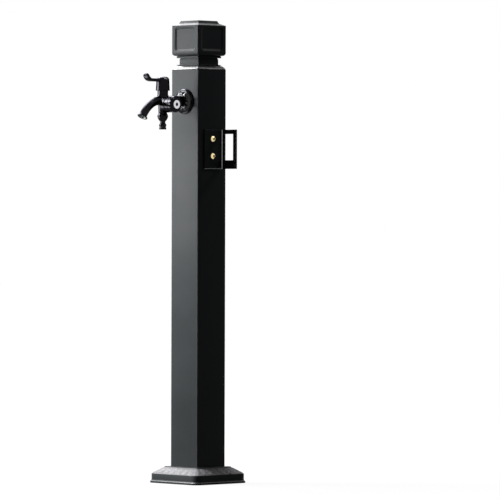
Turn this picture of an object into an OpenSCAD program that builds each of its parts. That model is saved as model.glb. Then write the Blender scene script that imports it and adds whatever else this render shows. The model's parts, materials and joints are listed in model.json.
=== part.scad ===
// Garden standpipe: a square column on a cast base, with a lever tap, a hose outlet and a hook.
// Z is up, the ground is at zero and the column's axis is the origin.
// The tap is on the -Y face and the hook is on the +X face.

/* [Column] */
// Width of the square column
column_w = 80; // [76:1:90]
// Wall of the column
column_wall = 2; // [1.6:0.1:3]
// Radius on the column's outer corners
column_corner_r = 2.5; // [1:0.5:4]
// Height of the column's top edge above the ground
column_top_z = 853; // [840:1:1200]
// Outer radius of the screw channels inside the column's corners
channel_r = 5; // [4.5:0.1:6]
// Diameter of the screws that go up into the channels
channel_screw_d = 6; // [4:0.5:6]
// Length of those screws in the channels
channel_screw_grip = 20; // [10:1:40]

/* [Base] */
// Width of the square mounting plate
plate_w = 130; // [124:1:132]
// Thickness of the mounting plate
plate_t = 6; // [5:0.5:8]
// Radius on the mounting plate's corners
plate_corner_r = 8; // [4:1:14]
// Diameter of the hole where the supply comes up
supply_hole_d = 50; // [40:1:54]
// Distance from the anchor bolts' centres to the mounting plate's edges
anchor_edge = 11; // [10:0.5:12]
// Diameter of the anchor bolts' holes
anchor_hole_d = 10; // [8:0.5:10]
// Gap between the mounting plate and the inside of the base cover
plate_gap = 4; // [2:0.5:6]
// Radius on the base cover's corners at the ground
cover_corner_r = 18; // [14:1:22]
// Wall of the base cover
cover_wall = 3; // [2:0.5:3]
// Height of the upright edge of the base cover's lip
cover_lip_h = 3.5; // [2:0.5:4.5]
// How far the base cover's side stands in from its lip
cover_lip_inset = 3; // [1:0.5:3]
// Height where the base cover's side begins above the lip
cover_side_z = 6; // [5:0.5:8]
// Height where the base cover begins to slope
cover_slope_z = 19.3; // [18:0.1:24]
// Height where the slope ends
cover_slope_top_z = 32.5; // [30:0.5:38]
// Height of the base cover
cover_top_z = 34; // [33.5:0.5:42]
// How far the flat top of the base cover stands out from the column
cover_ledge = 9.5; // [6:0.5:12]
// Radius on the corners of the flat top
cover_ledge_r = 3; // [2:0.5:6]
// Gap between the base cover and the column
cover_clearance = 0.4; // [0.2:0.1:0.8]

/* [Finial] */
// Wall of the hollow finial
finial_wall = 3; // [2:0.5:4]
// Height of the curved skirt on the column's top
skirt_h = 9; // [6:0.5:12]
// How far the skirt curves in on each side
skirt_inset = 7; // [5:0.5:9]
// Thickness of the slab above the skirt
slab_h = 2; // [1.5:0.5:4]
// Width of the finial's neck
neck_w = 57; // [50:1:60]
// Height of the neck
neck_h = 11.5; // [8:0.5:20]
// Depth of the groove above the neck
groove_h = 2; // [1:0.5:3]
// Width of the moulding under the block
moulding_w = 65.5; // [62:0.5:70]
// Height of that moulding
moulding_h = 5; // [2:0.5:6]
// Height of the rounding under the block
block_round_h = 6; // [4:0.5:8]
// Height of the block, with its rounding
block_h = 62.5; // [58:0.5:80]
// Height of the bevel on the block
bevel_h = 4.5; // [2:0.5:8]
// Width of the top tier at its foot
tier_w = 59; // [50:1:64]
// Width of the top tier at its top
tier_top_w = 53.5; // [40:0.5:58]
// Height of the top tier
tier_h = 5.5; // [3:0.5:10]
// Width of the panels in the block's sides
panel_w = 62; // [50:1:66]
// Height of the panels
panel_h = 50; // [40:1:52]
// Radius on the panels' corners
panel_corner_r = 8; // [4:1:10]
// Width of the slope round each panel
panel_slope = 4.5; // [2:0.5:6]
// Depth of the panels
panel_depth = 2.5; // [1:0.5:3]
// How far the finial's tabs reach down into the column
tab_l = 25; // [20:1:40]
// Thickness of the tabs
tab_t = 2.5; // [2:0.5:4]
// Gap between the tabs and the column's inside
tab_clearance = 0.3; // [0.1:0.1:0.5]
// Diameter of the screws that hold the finial
finial_screw_d = 4; // [3:0.5:5]
// Distance between the two finial screws
finial_screw_pitch = 36; // [20:1:40]
// How far the finial screws sit below the column's top
finial_screw_drop = 12; // [10:1:15]

/* [Tap] */
// Height of the tap's inlet
inlet_z = 788; // [760:1:800]
// Diameter of the inlet's thread
inlet_thread_d = 20.955; // [20:0.005:21]
// Diameter of the inlet pipe outside the column
inlet_d = 21.4; // [21:0.1:23]
// Bore of the water ways
water_way_d = 12; // [9:0.5:12]
// Bore of the way from the inlet down to the valves
feed_bore_d = 8.4; // [6:0.2:8.6]
// Distance from the column's face to the valve's axis
valve_reach = 62; // [58:1:80]
// Height of the barrel's axis below the inlet
barrel_drop = 8; // [6:0.5:8]
// Diameter of the barrel
barrel_d = 33; // [32:0.5:36]
// Length of the barrel past the valve's axis, on the knob's side
barrel_l = 31; // [31:0.5:34]
// Distance from the valve's axis to the barrel's closed end
barrel_start = 4.5; // [2.5:0.5:5]
// Radius on the barrel's closed end
barrel_end_r = 6; // [3:0.5:8]
// Diameter of the valve boss on top of the body
boss_d = 24; // [24:0.5:28]
// Height above the barrel's axis where the stem has widened to the boss
boss_rise = 6; // [3:0.5:6]
// Diameter of the escutcheon against the column
escutcheon_d = 52; // [46:1:56]
// Height of the escutcheon
escutcheon_h = 12; // [8:0.5:16]
// Length of the inlet's thread behind the column's face
inlet_thread_l = 18; // [16:0.5:18]
// Gap round the inlet pipe in its holes
inlet_clearance = 0.3; // [0.1:0.1:0.5]

/* [Spout] */
// Diameter of the spout's tube
spout_d = 16.4; // [15.5:0.1:17.5]
// Bore of the spout
spout_bore_d = 12; // [10:0.5:12]
// Height of the spout's axis above the barrel's axis
spout_rise = 9.5; // [9:0.5:11]
// Radius of the spout's arch
spout_arch_r = 63; // [56:1:68]
// Angle of the spout's whole arch
spout_arch_a = 61; // [50:1:70]
// Angle of the arch that belongs to the socket on the barrel
socket_a = 18.5; // [18:0.5:21]
// Diameter of that socket
socket_d = 18; // [17.8:0.1:20]
// Length of the spout's spigot in the socket
spigot_l = 6; // [5:0.5:6.5]
// Diameter of the spigot
spigot_d = 14.6; // [14.2:0.1:15]
// Diameter of the flared mouth
mouth_d = 21.6; // [19:0.1:24]
// Length of the flare
mouth_l = 4; // [3:0.5:6]
// Thickness of the mouth's rim
mouth_rim = 1.6; // [1:0.1:2.5]

/* [Valves] */
// Diameter of each valve's chamber in the body
chamber_d = 19.6; // [19.4:0.1:19.8]
// Distance from the valve axis to the side valve's seat
side_seat_x = 10.5; // [10.2:0.1:10.5]
// Height of the top valve's seat above the barrel's axis
top_seat_rise = 9; // [8.8:0.1:9.2]
// Thickness of the rubber seat seals
seat_seal_h = 2; // [1.5:0.1:2.5]
// Thickness of each ceramic disc
disc_h = 3; // [2.5:0.1:3.5]
// Diameter of the ceramic discs
disc_d = 15.8; // [15:0.1:16]
// Diameter of the ports through the discs
port_d = 5; // [4:0.5:5]
// Distance of the ports from the discs' centre
port_r = 4.4; // [4:0.1:4.8]
// Gap between the two discs
disc_gap = 0.05; // [0.03:0.01:0.1]
// Inner diameter of the valve housings' sleeves
sleeve_bore_d = 16.4; // [16.2:0.1:16.8]
// Thickness of the spindles' feet
spindle_foot_h = 2.5; // [2:0.1:3]
// Diameter of the spindles
spindle_d = 9; // [8:0.1:10]
// Running gap round each spindle
spindle_clearance = 0.05; // [0.03:0.01:0.09]
// Diameter of the spindles' driving ends
drive_d = 8; // [7:0.1:8]
// Depth of the slot that drives each moving disc
drive_slot_h = 1.2; // [0.8:0.1:1.5]
// Width of that slot
drive_slot_w = 3; // [2:0.1:4]
// Thickness of the spindles' rubber rings
ring_t = 1.3; // [1:0.1:1.5]
// Diameter of the valve housings' heads
housing_head_d = 22; // [21.4:0.1:22.4]
// Height of the valve housings' heads
housing_head_h = 9; // [8:0.5:9]
// Gap round parts that are screwed or pushed together
fit_clearance = 0.1; // [0.05:0.01:0.12]
// Gap between a turning handle and what it turns over
handle_gap = 0.3; // [0.2:0.1:0.5]
// Diameter of the screws that hold the lever and the knob
handle_screw_d = 4; // [3:0.5:4]
// Thickness of those screws' heads
handle_screw_head_h = 2; // [1.6:0.1:2.2]

/* [Lever] */
// Diameter of the lever's hub at its foot
hub_d = 29; // [27:0.5:32]
// Diameter of the hub below its shoulder
hub_top_d = 26.4; // [26:0.2:27]
// Height of the hub
hub_h = 26.5; // [26:0.5:28]
// Height of the hub's shoulder
shoulder_h = 3.5; // [3:0.5:5]
// Height of the hub's skirt round the valve housing
hub_skirt_h = 1.2; // [0.8:0.1:1.8]
// Diameter of the cap on the hub
hub_cap_d = 19; // [17:0.5:22]
// How far the cap's dome rises
hub_cap_dome = 1.8; // [1:0.1:3]
// Distance from the valve axis to the centre of the lever's round tip
paddle_reach = 42.5; // [40:0.5:60]
// Width of the lever's paddle
paddle_w = 16.4; // [14:0.2:20]
// Width of the lever's waist
waist_w = 9.5; // [8:0.5:12]
// Thickness of the lever arm
arm_t = 7; // [5:0.2:8]
// Height of the arm's middle above the hub's foot
arm_rise = 20.5; // [20:0.5:22]
// Length of the arm's straight part, from the valve axis
arm_flat_l = 33.5; // [32:0.5:40]
// Radius of the bend near the arm's tip
arm_bend_r = 13.5; // [12:0.5:15]
// Angle of the upturned tip
arm_bend_a = 75; // [50:1:80]
// Length of the straight tip past the bend
arm_tip_l = 3.5; // [2:0.5:5]

/* [Knob] */
// Length of the side knob
knob_l = 11; // [10.6:0.2:14]
// Width of the bevel round the knob's face
knob_bevel = 4; // [3:0.5:5]
// Diameter of the polished button in the knob's face
button_d = 17.5; // [16:0.5:19]
// Thickness of the button's edge
button_t = 1; // [0.8:0.1:1.2]
// How far the button's dome rises
button_dome = 1; // [0.6:0.1:2]

/* [Hose outlet] */
// Diameter of the stem under the barrel
stem_d = 17.8; // [17:0.1:19]
// Height of the stem's shoulder above the coupling nut's widest line
stem_end_rise = 6.5; // [5.5:0.5:8]
// Distance from the barrel's axis down to the coupling nut's widest line
nut_drop = 23.5; // [23:0.5:30]
// Greatest diameter of the coupling nut
nut_d = 22.2; // [21.5:0.1:25]
// Diameter of the coupling nut's lower end
nut_foot_d = 13.2; // [12.6:0.1:14]
// Distance from the nut's widest line down to its lower end
nut_taper_l = 10.5; // [10:0.5:14]
// Diameter of the stem's thread inside the nut
nut_thread_d = 15.2; // [14.6:0.1:15.6]
// Diameter of the hose nipple's neck
nipple_neck_d = 11; // [10:0.1:11.4]
// Bore of the hose nipple
nipple_bore_d = 7; // [5:0.5:8]
// Diameter of the nipple's round collar
nipple_collar_d = 15.3; // [14:0.1:17]
// Diameter of the nipple's foot
nipple_foot_d = 14.7; // [13.5:0.1:16]
// Length of the nipple below the nut
nipple_l = 17; // [16.5:0.5:22]
// Length of the nipple's foot
nipple_foot_l = 3.6; // [3:0.2:5]

/* [Supply] */
// Outer diameter of the supply pipe inside the column
pipe_d = 20; // [18:1:20]
// Bore of the supply pipe
pipe_bore_d = 14.4; // [12:0.2:15]
// Outer diameter of the pipe fittings
fitting_d = 28; // [26:1:30]
// Depth of the pipe in each fitting
socket_l = 15; // [12:1:18]
// Length of the supply thread at the foot
supply_thread_l = 15; // [12:1:18]
// Height of the supply thread's lower end above the ground
supply_end_z = 14; // [10:1:60]
// Width of the supply fitting across its hexagon
hex_w = 27; // [26:1:32]
// Height of that hexagon
hex_h = 8; // [6:1:12]
// Thickness of the washer between the tap's fitting and the column
fitting_washer_t = 2; // [1:0.5:3]

/* [Hook] */
// Thickness of the hook's sheet
hook_t = 3; // [2:0.5:4]
// Height of the hook's lower edge above the ground
hook_z = 649; // [400:1:700]
// Height of the hook
hook_h = 81; // [70:1:100]
// How far the hook's plate reaches from its bend across the column's face
hook_plate_w = 53; // [44:1:60]
// How far the hook's leg stands out from the column
hook_leg = 44.5; // [38:0.5:60]
// Distance from the column's middle to the leg's rear face
hook_offset = 29; // [24:1:36]
// Radius inside the hook's bend
hook_bend_r = 2; // [1:0.5:4]
// Width of the hook's window
window_w = 26; // [15:1:28]
// Height of the hook's window
window_h = 54; // [40:1:58]
// Width of the bar outside the window
window_bar = 9.5; // [6:0.5:10]
// Height of the bar above the window
window_top_bar = 9; // [6:0.5:12]
// Diameter of the hook's screws
hook_screw_d = 6; // [5:0.5:6]
// Length of the rivet nuts that hold them
rivet_l = 14; // [12:0.5:16]
// Distance between the hook's two screws
hook_screw_pitch = 35.5; // [25:0.5:45]
// Height of the middle between those screws above the hook's lower edge
hook_screw_rise = 44; // [38:0.5:48]
// Diameter of those screws' heads
hook_screw_head_d = 12.4; // [10:0.2:14]
// Height of those heads
hook_screw_head_h = 3.6; // [3:0.2:5]

/* [Hidden] */

$fn = 64;
corner_steps = 8;
curve_steps = 16;
arm_steps = 32;
skirt_steps = 6;
slice = 0.01;
past = 1;

black_paint = [0.16, 0.17, 0.18];
black_chrome = [0.07, 0.07, 0.08];
steel = [0.62, 0.63, 0.65];
brass = [0.86, 0.71, 0.36];
rubber = [0.05, 0.05, 0.05];
ceramic = [0.93, 0.92, 0.88];
pipe_white = [0.88, 0.88, 0.86];
mirror_chrome = [0.9, 0.9, 0.92];

// The column's faces and its inside
face = column_w / 2;
inner_face = face - column_wall;
channel_overlap = 1;
channel_at = inner_face - channel_r + channel_overlap;

// The base cover is sized round the mounting plate
cover_w = plate_w + 2 * (plate_gap + cover_wall + cover_lip_inset);
anchor_pitch = plate_w - 2 * anchor_edge;

// The valve's axis and the heights along it
valve_y = -(face + valve_reach);
thread_end = face - inlet_thread_l;
barrel_z = inlet_z - barrel_drop;
top_seat_z = barrel_z + top_seat_rise;
boss_z = barrel_z + boss_rise;

// Heights within a valve, from its seat
fixed_disc_h0 = seat_seal_h;
moving_disc_h0 = fixed_disc_h0 + disc_h + disc_gap;
foot_h0 = moving_disc_h0 + disc_h + disc_gap;
foot_top = foot_h0 + spindle_foot_h;
shoulder_h0 = foot_top + disc_gap;
head_h0 = shoulder_h0 + 0.8;
head_top = head_h0 + housing_head_h;
sleeve_h0 = 0.6;
sleeve_port_w = 8;
sleeve_port_h = 5;
sleeve_port_h0 = moving_disc_h0 - 0.8;
chamber_r = chamber_d / 2;
housing_r = chamber_r - fit_clearance;
handle_h0 = head_top + handle_gap;

// The hub, the knob and what holds them
drive_r = drive_d / 2;
spindle_r = spindle_d / 2;
screw_r = handle_screw_d / 2;
screw_head_r = screw_r + 1.6;
head_hole_r = screw_head_r + 0.7;
drive_h0 = handle_h0 + 1;
hub_drive_l = 10;
knob_drive_l = knob_l - handle_screw_head_h - button_t - 3.2;
web_t = 1.6;
thread_gap = 0.05;
screw_grip = 5;

// The hose outlet, downwards
nut_z = barrel_z - nut_drop;
stem_end_z = nut_z + stem_end_rise;
nut_foot_z = nut_z - nut_taper_l;
nut_floor_z = nut_foot_z + 4;
nipple_flange_h = 2;
washer_h = 2;
nut_thread_r = nut_thread_d / 2;
nipple_flange_z = nut_floor_z + nipple_flange_h;
stem_thread_z = nipple_flange_z + washer_h;
nipple_z = nut_foot_z - nipple_l;
groove_l = 1.8;
nipple_groove_depth = 1.4;

// The spout's arch has its centre below the spout's root
arch_z = barrel_z + spout_rise - spout_arch_r;
ring_depth = 0.7;
ring_gap = 0.02;
bore_step = 0.4;
rim_step = 0.2;
mouth_edge = 0.4;

// Where the inlet's bore ends, short of the valves
feed_y = -valve_y - chamber_r - 7;

// The supply, upwards
supply_r = inlet_thread_d / 2;
supply_hex_z = supply_end_z + supply_thread_l;
connector_top_z = supply_hex_z + hex_h + socket_l + 1;
fitting_r = fitting_d / 2;
pipe_r = pipe_d / 2;
elbow_drop = fitting_r + socket_l + 1;
elbow_face = inner_face - fitting_washer_t;

// The finial's levels, upwards
skirt_z = column_top_z + skirt_h;
slab_z = skirt_z + slab_h;
neck_z = slab_z + neck_h;
groove_z = neck_z + groove_h;
moulding_z = groove_z + moulding_h;
block_z = moulding_z + block_h;
bevel_z = block_z + bevel_h;
finial_z = bevel_z + tier_h;
slab_w = column_w - 2 * skirt_inset;
panel_z = moulding_z + (block_round_h + block_h) / 2;
cavity_w = column_w - 2 * (finial_wall + panel_depth);
neck_bore_w = neck_w - 2 * finial_wall;
tab_face = inner_face - tab_clearance;
tab_w = 2 * (channel_at - channel_r - 2);

// The hook's screws
hook_screw_z = hook_z + hook_screw_rise;
rivet_r = hook_screw_d / 2 + 1.5;

// The points of a square with round corners, anticlockwise
function rounded_square(w, r) = [
    for (corner = [0:3], i = [0:corner_steps])
        let (
            a = 90 * (corner + i / corner_steps),
            side_x = corner == 0 || corner == 3 ? 1 : -1,
            side_y = corner < 2 ? 1 : -1,
            c = w / 2 - r
        )
        [side_x * c + r * cos(a), side_y * c + r * sin(a)]
];

// The points of a quarter circle about a centre, from one angle to another
function arc(c, r, a0, a1) = [
    for (i = [0:corner_steps])
        let (a = a0 + (a1 - a0) * i / corner_steps)
        c + r * [cos(a), sin(a)]
];

// An S-shaped rise from nought to one
function smooth(t) = t * t * (3 - 2 * t);

module rounded_bar(w, r, z0, z1) {
    translate([0, 0, z0])
        linear_extrude(z1 - z0)
            polygon(rounded_square(w, r));
}

// A square with round corners that changes size on its way up
module rounded_taper(w0, r0, z0, w1, r1, z1) {
    hull() {
        rounded_bar(w0, r0, z0, z0 + slice);
        rounded_bar(w1, r1, z1 - slice, z1);
    }
}

// A square moulding whose half width follows the points' first value up its height
module mitred(points) {
    half = concat(points, [for (i = [len(points) - 1:-1:0]) [-points[i][0], points[i][1]]]);
    reach = 2 * max([for (p = points) p[0]]) + 2 * past;
    intersection() {
        rotate([90, 0, 0]) linear_extrude(reach, center = true) polygon(half);
        rotate([90, 0, 90]) linear_extrude(reach, center = true) polygon(half);
    }
}

// A round bar along +X, -Y or +Z
module along_x(r, x0, x1) translate([x0, 0, 0]) rotate([0, 90, 0]) cylinder(r = r, h = x1 - x0);
module along_front(r, y0, y1) translate([0, -y0, 0]) rotate([90, 0, 0]) cylinder(r = r, h = y1 - y0);
module along_z(r, z0, z1) translate([0, 0, z0]) cylinder(r = r, h = z1 - z0);

// Copies at the four corners of a square
module at_corners(c) {
    for (x = [-1, 1], y = [-1, 1]) translate([x * c, y * c, 0]) children();
}

// A ring of round section
module torus(ring_r, section_r) rotate_extrude() translate([ring_r, 0]) circle(section_r);

// A round plug from z0 to z1 with a dome on it
module domed_plug(r, z0, z1, rise) {
    rotate_extrude() polygon(concat(
        [[0, z0], [r, z0]],
        [
            for (i = [0:curve_steps])
                let (t = i / curve_steps)
                [r * (1 - t), z1 + rise * (1 - (1 - t) * (1 - t))]
        ]
    ));
}

module mounting_plate() {
    head_r = channel_screw_d;
    color(steel) difference() {
        rounded_bar(plate_w, plate_corner_r, 0, plate_t);
        along_z(supply_hole_d / 2, -past, plate_t + past);
        at_corners(anchor_pitch / 2) along_z(anchor_hole_d / 2, -past, plate_t + past);
        at_corners(channel_at) {
            along_z(channel_screw_d / 2 + 0.3, -past, plate_t + past);
            translate([0, 0, -slice])
                cylinder(r1 = head_r + 0.3, r2 = channel_screw_d / 2 + 0.3, h = channel_screw_d / 2 + 0.6);
        }
    }
}

module column_screws() {
    head_h = channel_screw_d / 2;
    color(steel) at_corners(channel_at) difference() {
        union() {
            translate([0, 0, 0.3])
                cylinder(r1 = channel_screw_d, r2 = channel_screw_d / 2 - thread_gap, h = head_h);
            along_z(channel_screw_d / 2 - thread_gap, 0.3, plate_t + channel_screw_grip);
        }
        translate([0, 0, -past]) cylinder(r = channel_screw_d / 3, h = past + head_h / 1.4, $fn = 6);
    }
}

module base_cover() {
    side_w = cover_w - 2 * cover_lip_inset;
    side_r = cover_corner_r - cover_lip_inset;
    ledge_w = column_w + 2 * cover_ledge;
    in_w = side_w - 2 * cover_wall;
    in_r = side_r - cover_wall;
    color(black_paint) difference() {
        union() {
            rounded_bar(cover_w, cover_corner_r, 0, cover_lip_h);
            rounded_taper(cover_w, cover_corner_r, cover_lip_h - slice, side_w, side_r, cover_side_z);
            rounded_bar(side_w, side_r, cover_side_z - slice, cover_slope_z);
            rounded_taper(side_w, side_r, cover_slope_z - slice, ledge_w, cover_ledge_r, cover_slope_top_z);
            rounded_bar(ledge_w, cover_ledge_r, cover_slope_top_z - slice, cover_top_z);
        }
        rounded_bar(in_w, in_r, -past, cover_slope_z - cover_wall / 2);
        rounded_taper(
            in_w, in_r, cover_slope_z - cover_wall / 2 - slice,
            ledge_w - 2 * cover_wall, cover_ledge_r, cover_slope_top_z - cover_wall / 2
        );
        rounded_bar(
            column_w + 2 * cover_clearance, column_corner_r + cover_clearance, 0, cover_top_z + past
        );
    }
}

module column_tube() {
    color(black_paint) difference() {
        union() {
            difference() {
                rounded_bar(column_w, column_corner_r, plate_t, column_top_z);
                rounded_bar(
                    2 * inner_face, max(column_corner_r - column_wall, 0.5),
                    plate_t - past, column_top_z + past
                );
            }
            at_corners(channel_at) along_z(channel_r, plate_t, column_top_z);
        }
        at_corners(channel_at) along_z(channel_screw_d / 2, plate_t - past, column_top_z + past);
        translate([0, 0, inlet_z])
            along_front(inlet_d / 2 + inlet_clearance, inner_face - past, face + past);
        at_hook_screws() along_x(rivet_r + fit_clearance, inner_face - past, face + past);
        at_finial_screws() along_front(finial_screw_d / 2 + 0.2, -face - past, -inner_face + past);
    }
}

module at_finial_screws() {
    for (side = [-1, 1])
        translate([side * finial_screw_pitch / 2, 0, column_top_z - finial_screw_drop]) children();
}

module finial() {
    w = column_w / 2;
    cavity_top = block_z - finial_wall;
    color(black_paint) difference() {
        union() {
            intersection() {
                mitred(concat(
                    [for (i = [0:skirt_steps]) skirt_point(i / skirt_steps)],
                    [
                        [slab_w / 2, slab_z],
                        [neck_w / 2, slab_z], [neck_w / 2, neck_z], [neck_w / 2 + 1.5, neck_z],
                        [neck_w / 2 + 1.5, groove_z], [moulding_w / 2, groove_z],
                        [moulding_w / 2, moulding_z]
                    ],
                    arc([w - block_round_h, moulding_z + block_round_h], block_round_h, -90, 0),
                    [
                        [w, block_z], [tier_w / 2, bevel_z], [tier_top_w / 2, finial_z]
                    ]
                ));
                rounded_bar(column_w, column_corner_r, column_top_z, finial_z);
            }
            for (a = [0:90:270]) rotate(a)
                translate([tab_face - tab_t, -tab_w / 2, column_top_z - tab_l])
                    cube([tab_t, tab_w, tab_l + slice]);
        }
        rounded_bar(neck_bore_w, 2, column_top_z - past, moulding_z + finial_wall);
        rounded_bar(cavity_w, 2, moulding_z + finial_wall, cavity_top);
        for (a = [0:90:270]) rotate(a) panel_recess();
        at_finial_screws() along_front(finial_screw_d / 2, -face, -tab_face + tab_t + past);
    }
}

// A point on the skirt's curve, from t = 0 at the column's edge to 1 at the slab
function skirt_point(t) = [column_w / 2 - skirt_inset * t * t, column_top_z + skirt_h * t];

// The sunk panel of the +X side: a sloped edge down to a flat floor
module panel_recess() {
    hull() {
        panel_slab(panel_w, panel_h, panel_corner_r, face + slice);
        panel_slab(
            panel_w - 2 * panel_slope, panel_h - 2 * panel_slope,
            max(panel_corner_r - panel_slope, 1), face - panel_depth
        );
    }
}

module panel_slab(w, h, r, x) {
    translate([x, 0, panel_z]) rotate([90, 0, 90])
        linear_extrude(slice)
            polygon([for (p = rounded_square(w, r)) [p[0], p[1] + sign(p[1]) * (h - w) / 2]]);
}

module finial_screws() {
    r = finial_screw_d / 2;
    color(steel) at_finial_screws() difference() {
        union() {
            along_front(r - thread_gap, -face - slice, -tab_face + tab_t + 2);
            along_front(2 * r, -face - 0.6 * finial_screw_d, -face);
        }
        along_front(0.55 * r, -face - 0.6 * finial_screw_d - past, -face - 0.2 * finial_screw_d, $fn = 6);
    }
}

module supply_connector() {
    color(brass) difference() {
        union() {
            along_z(supply_r, supply_end_z, supply_hex_z + slice);
            translate([0, 0, supply_hex_z]) cylinder(d = hex_w / cos(30), h = hex_h, $fn = 6);
            along_z(fitting_r - 1, supply_hex_z + hex_h - slice, connector_top_z);
        }
        along_z(pipe_bore_d / 2, supply_end_z - past, connector_top_z);
        along_z(pipe_r + fit_clearance, connector_top_z - socket_l, connector_top_z + past);
    }
}

module riser_pipe() {
    color(pipe_white) difference() {
        along_z(pipe_r, connector_top_z - socket_l, inlet_z - elbow_drop + socket_l);
        along_z(pipe_bore_d / 2, 0, inlet_z);
    }
}

module tap_elbow() {
    color(brass) difference() {
        union() {
            translate([0, 0, inlet_z]) along_front(fitting_r, 0, elbow_face);
            along_z(fitting_r, inlet_z - elbow_drop, inlet_z);
            translate([0, 0, inlet_z]) sphere(fitting_r);
        }
        translate([0, 0, inlet_z]) {
            along_front(pipe_bore_d / 2, 0, elbow_face);
            along_front(supply_r + fit_clearance, thread_end - 2, elbow_face + past);
        }
        along_z(pipe_bore_d / 2, inlet_z - elbow_drop, inlet_z);
        along_z(pipe_r + fit_clearance, inlet_z - elbow_drop - past, inlet_z - elbow_drop + socket_l);
    }
}

module elbow_washer() {
    color(rubber) translate([0, 0, inlet_z]) difference() {
        along_front(fitting_r, elbow_face, inner_face);
        along_front(inlet_d / 2 + inlet_clearance, elbow_face - past, inner_face + past);
    }
}

module escutcheon() {
    r = escutcheon_d / 2;
    hole_r = inlet_d / 2 + inlet_clearance;
    h = escutcheon_h;
    collar_r = hole_r + 2.4;
    color(black_chrome) translate([0, -face, inlet_z]) rotate([90, 0, 0]) rotate_extrude()
        polygon(concat(
            [[hole_r, 0], [r, 0]],
            arc([r - 1.8, 2.4], 1.8, 0, 90),
            [[r - 3.4, 4.6]],
            [
                for (i = [0:curve_steps])
                    let (t = i / curve_steps)
                    [r - 4 - t * (r - 4 - collar_r - 1.2), 5.4 + (h - 7.4) * sin(90 * t)]
            ],
            arc([collar_r - 0.8, h - 0.8], 0.8, 0, 90),
            [[hole_r, h]]
        ));
}

// Places what is drawn about the spout's arch: angle nought is the spout's root
module at_arch(a) {
    translate([0, valve_y, arch_z]) rotate([a, 0, 0]) translate([0, 0, spout_arch_r]) children();
}

// A piece of the arch between two angles, with a round section
module arch(section_r, a0, a1) {
    translate([0, valve_y, arch_z]) rotate([0, -90, 0]) rotate([0, 0, -a1])
        rotate_extrude(angle = a1 - a0) translate([spout_arch_r, 0]) circle(section_r);
}

// The barrel's outline is turned about its axis: a round closed end and a plain open one
module barrel() {
    r = barrel_d / 2;
    rotate([0, 90, 0]) rotate_extrude()
        polygon(concat(
            [[0, barrel_start]],
            arc([r - barrel_end_r, barrel_start + barrel_end_r], barrel_end_r, -90, 0),
            [[r, barrel_l], [0, barrel_l]]
        ));
}

module tap_body() {
    boss_top_z = top_seat_z + head_h0;
    flow_r = water_way_d / 2;
    color(black_chrome) difference() {
        union() {
            translate([0, valve_y, barrel_z]) barrel();
            translate([0, valve_y, 0]) {
                rotate_extrude() polygon([
                    [0, stem_end_z], [stem_d / 2, stem_end_z], [stem_d / 2 + 0.4, barrel_z - 1],
                    [boss_d / 2, boss_z], [boss_d / 2, boss_top_z - 3],
                    [boss_d / 2 - 0.8, boss_top_z], [0, boss_top_z]
                ]);
                along_z(nut_thread_r, stem_thread_z, barrel_z);
            }
            translate([0, 0, inlet_z]) {
                along_front(inlet_d / 2, face, -valve_y);
                along_front(supply_r, thread_end, face + slice);
            }
            arch(socket_d / 2, 0, socket_a);
        }
        translate([0, 0, inlet_z]) along_front(flow_r, thread_end - past, feed_y);
        translate([0, valve_y, 0]) {
            along_z(flow_r, barrel_z - 2, top_seat_z + past);
            along_z(chamber_r, top_seat_z, top_seat_z + head_h0 + past);
            along_z(nipple_bore_d / 2 + 0.3, stem_thread_z - past, stem_end_z + 1.5);
        }
        translate([0, valve_y, barrel_z]) {
            along_x(flow_r, -4, side_seat_x + past);
            along_x(chamber_r, side_seat_x, barrel_l + past);
            along_x(housing_head_d / 2 + fit_clearance, side_seat_x + head_h0, barrel_l + past);
        }
        feed_passage();
        spout_passage();
        outlet_passage();
    }
}

// The sloping way from the inlet's bore down to the space under both seats
module feed_passage() {
    drop = barrel_drop - feed_bore_d / 2 + 1;
    run = -valve_y - feed_y + 2;
    translate([0, -feed_y + 2, inlet_z - feed_bore_d / 2 + 1])
        rotate([90 + atan2(drop, run), 0, 0])
            cylinder(d = feed_bore_d, h = norm([drop, run]));
}

// The straight way from the top valve's chamber to the spout, and the spout's seat
module spout_passage() {
    way_l = (spout_arch_r * sin(socket_a) - chamber_r) / cos(socket_a) + 0.6;
    at_arch(socket_a) rotate([-90, 0, 0]) {
        translate([0, 0, -past]) cylinder(d = spout_bore_d, h = way_l + past);
        translate([0, 0, -past]) cylinder(r = spigot_d / 2 + fit_clearance, h = spigot_l + past);
    }
}

// The way from the side valve's chamber down into the hose outlet's stem
module outlet_passage() {
    x = side_seat_x + sleeve_port_h0 + sleeve_port_h / 2;
    top_z = barrel_z - chamber_r + 0.5;
    translate([x, valve_y, top_z])
        rotate([0, 180 + atan2(x, top_z - stem_end_z), 0])
            cylinder(r = 2.4, h = norm([x, top_z - stem_end_z]) + 0.5);
}

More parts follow.
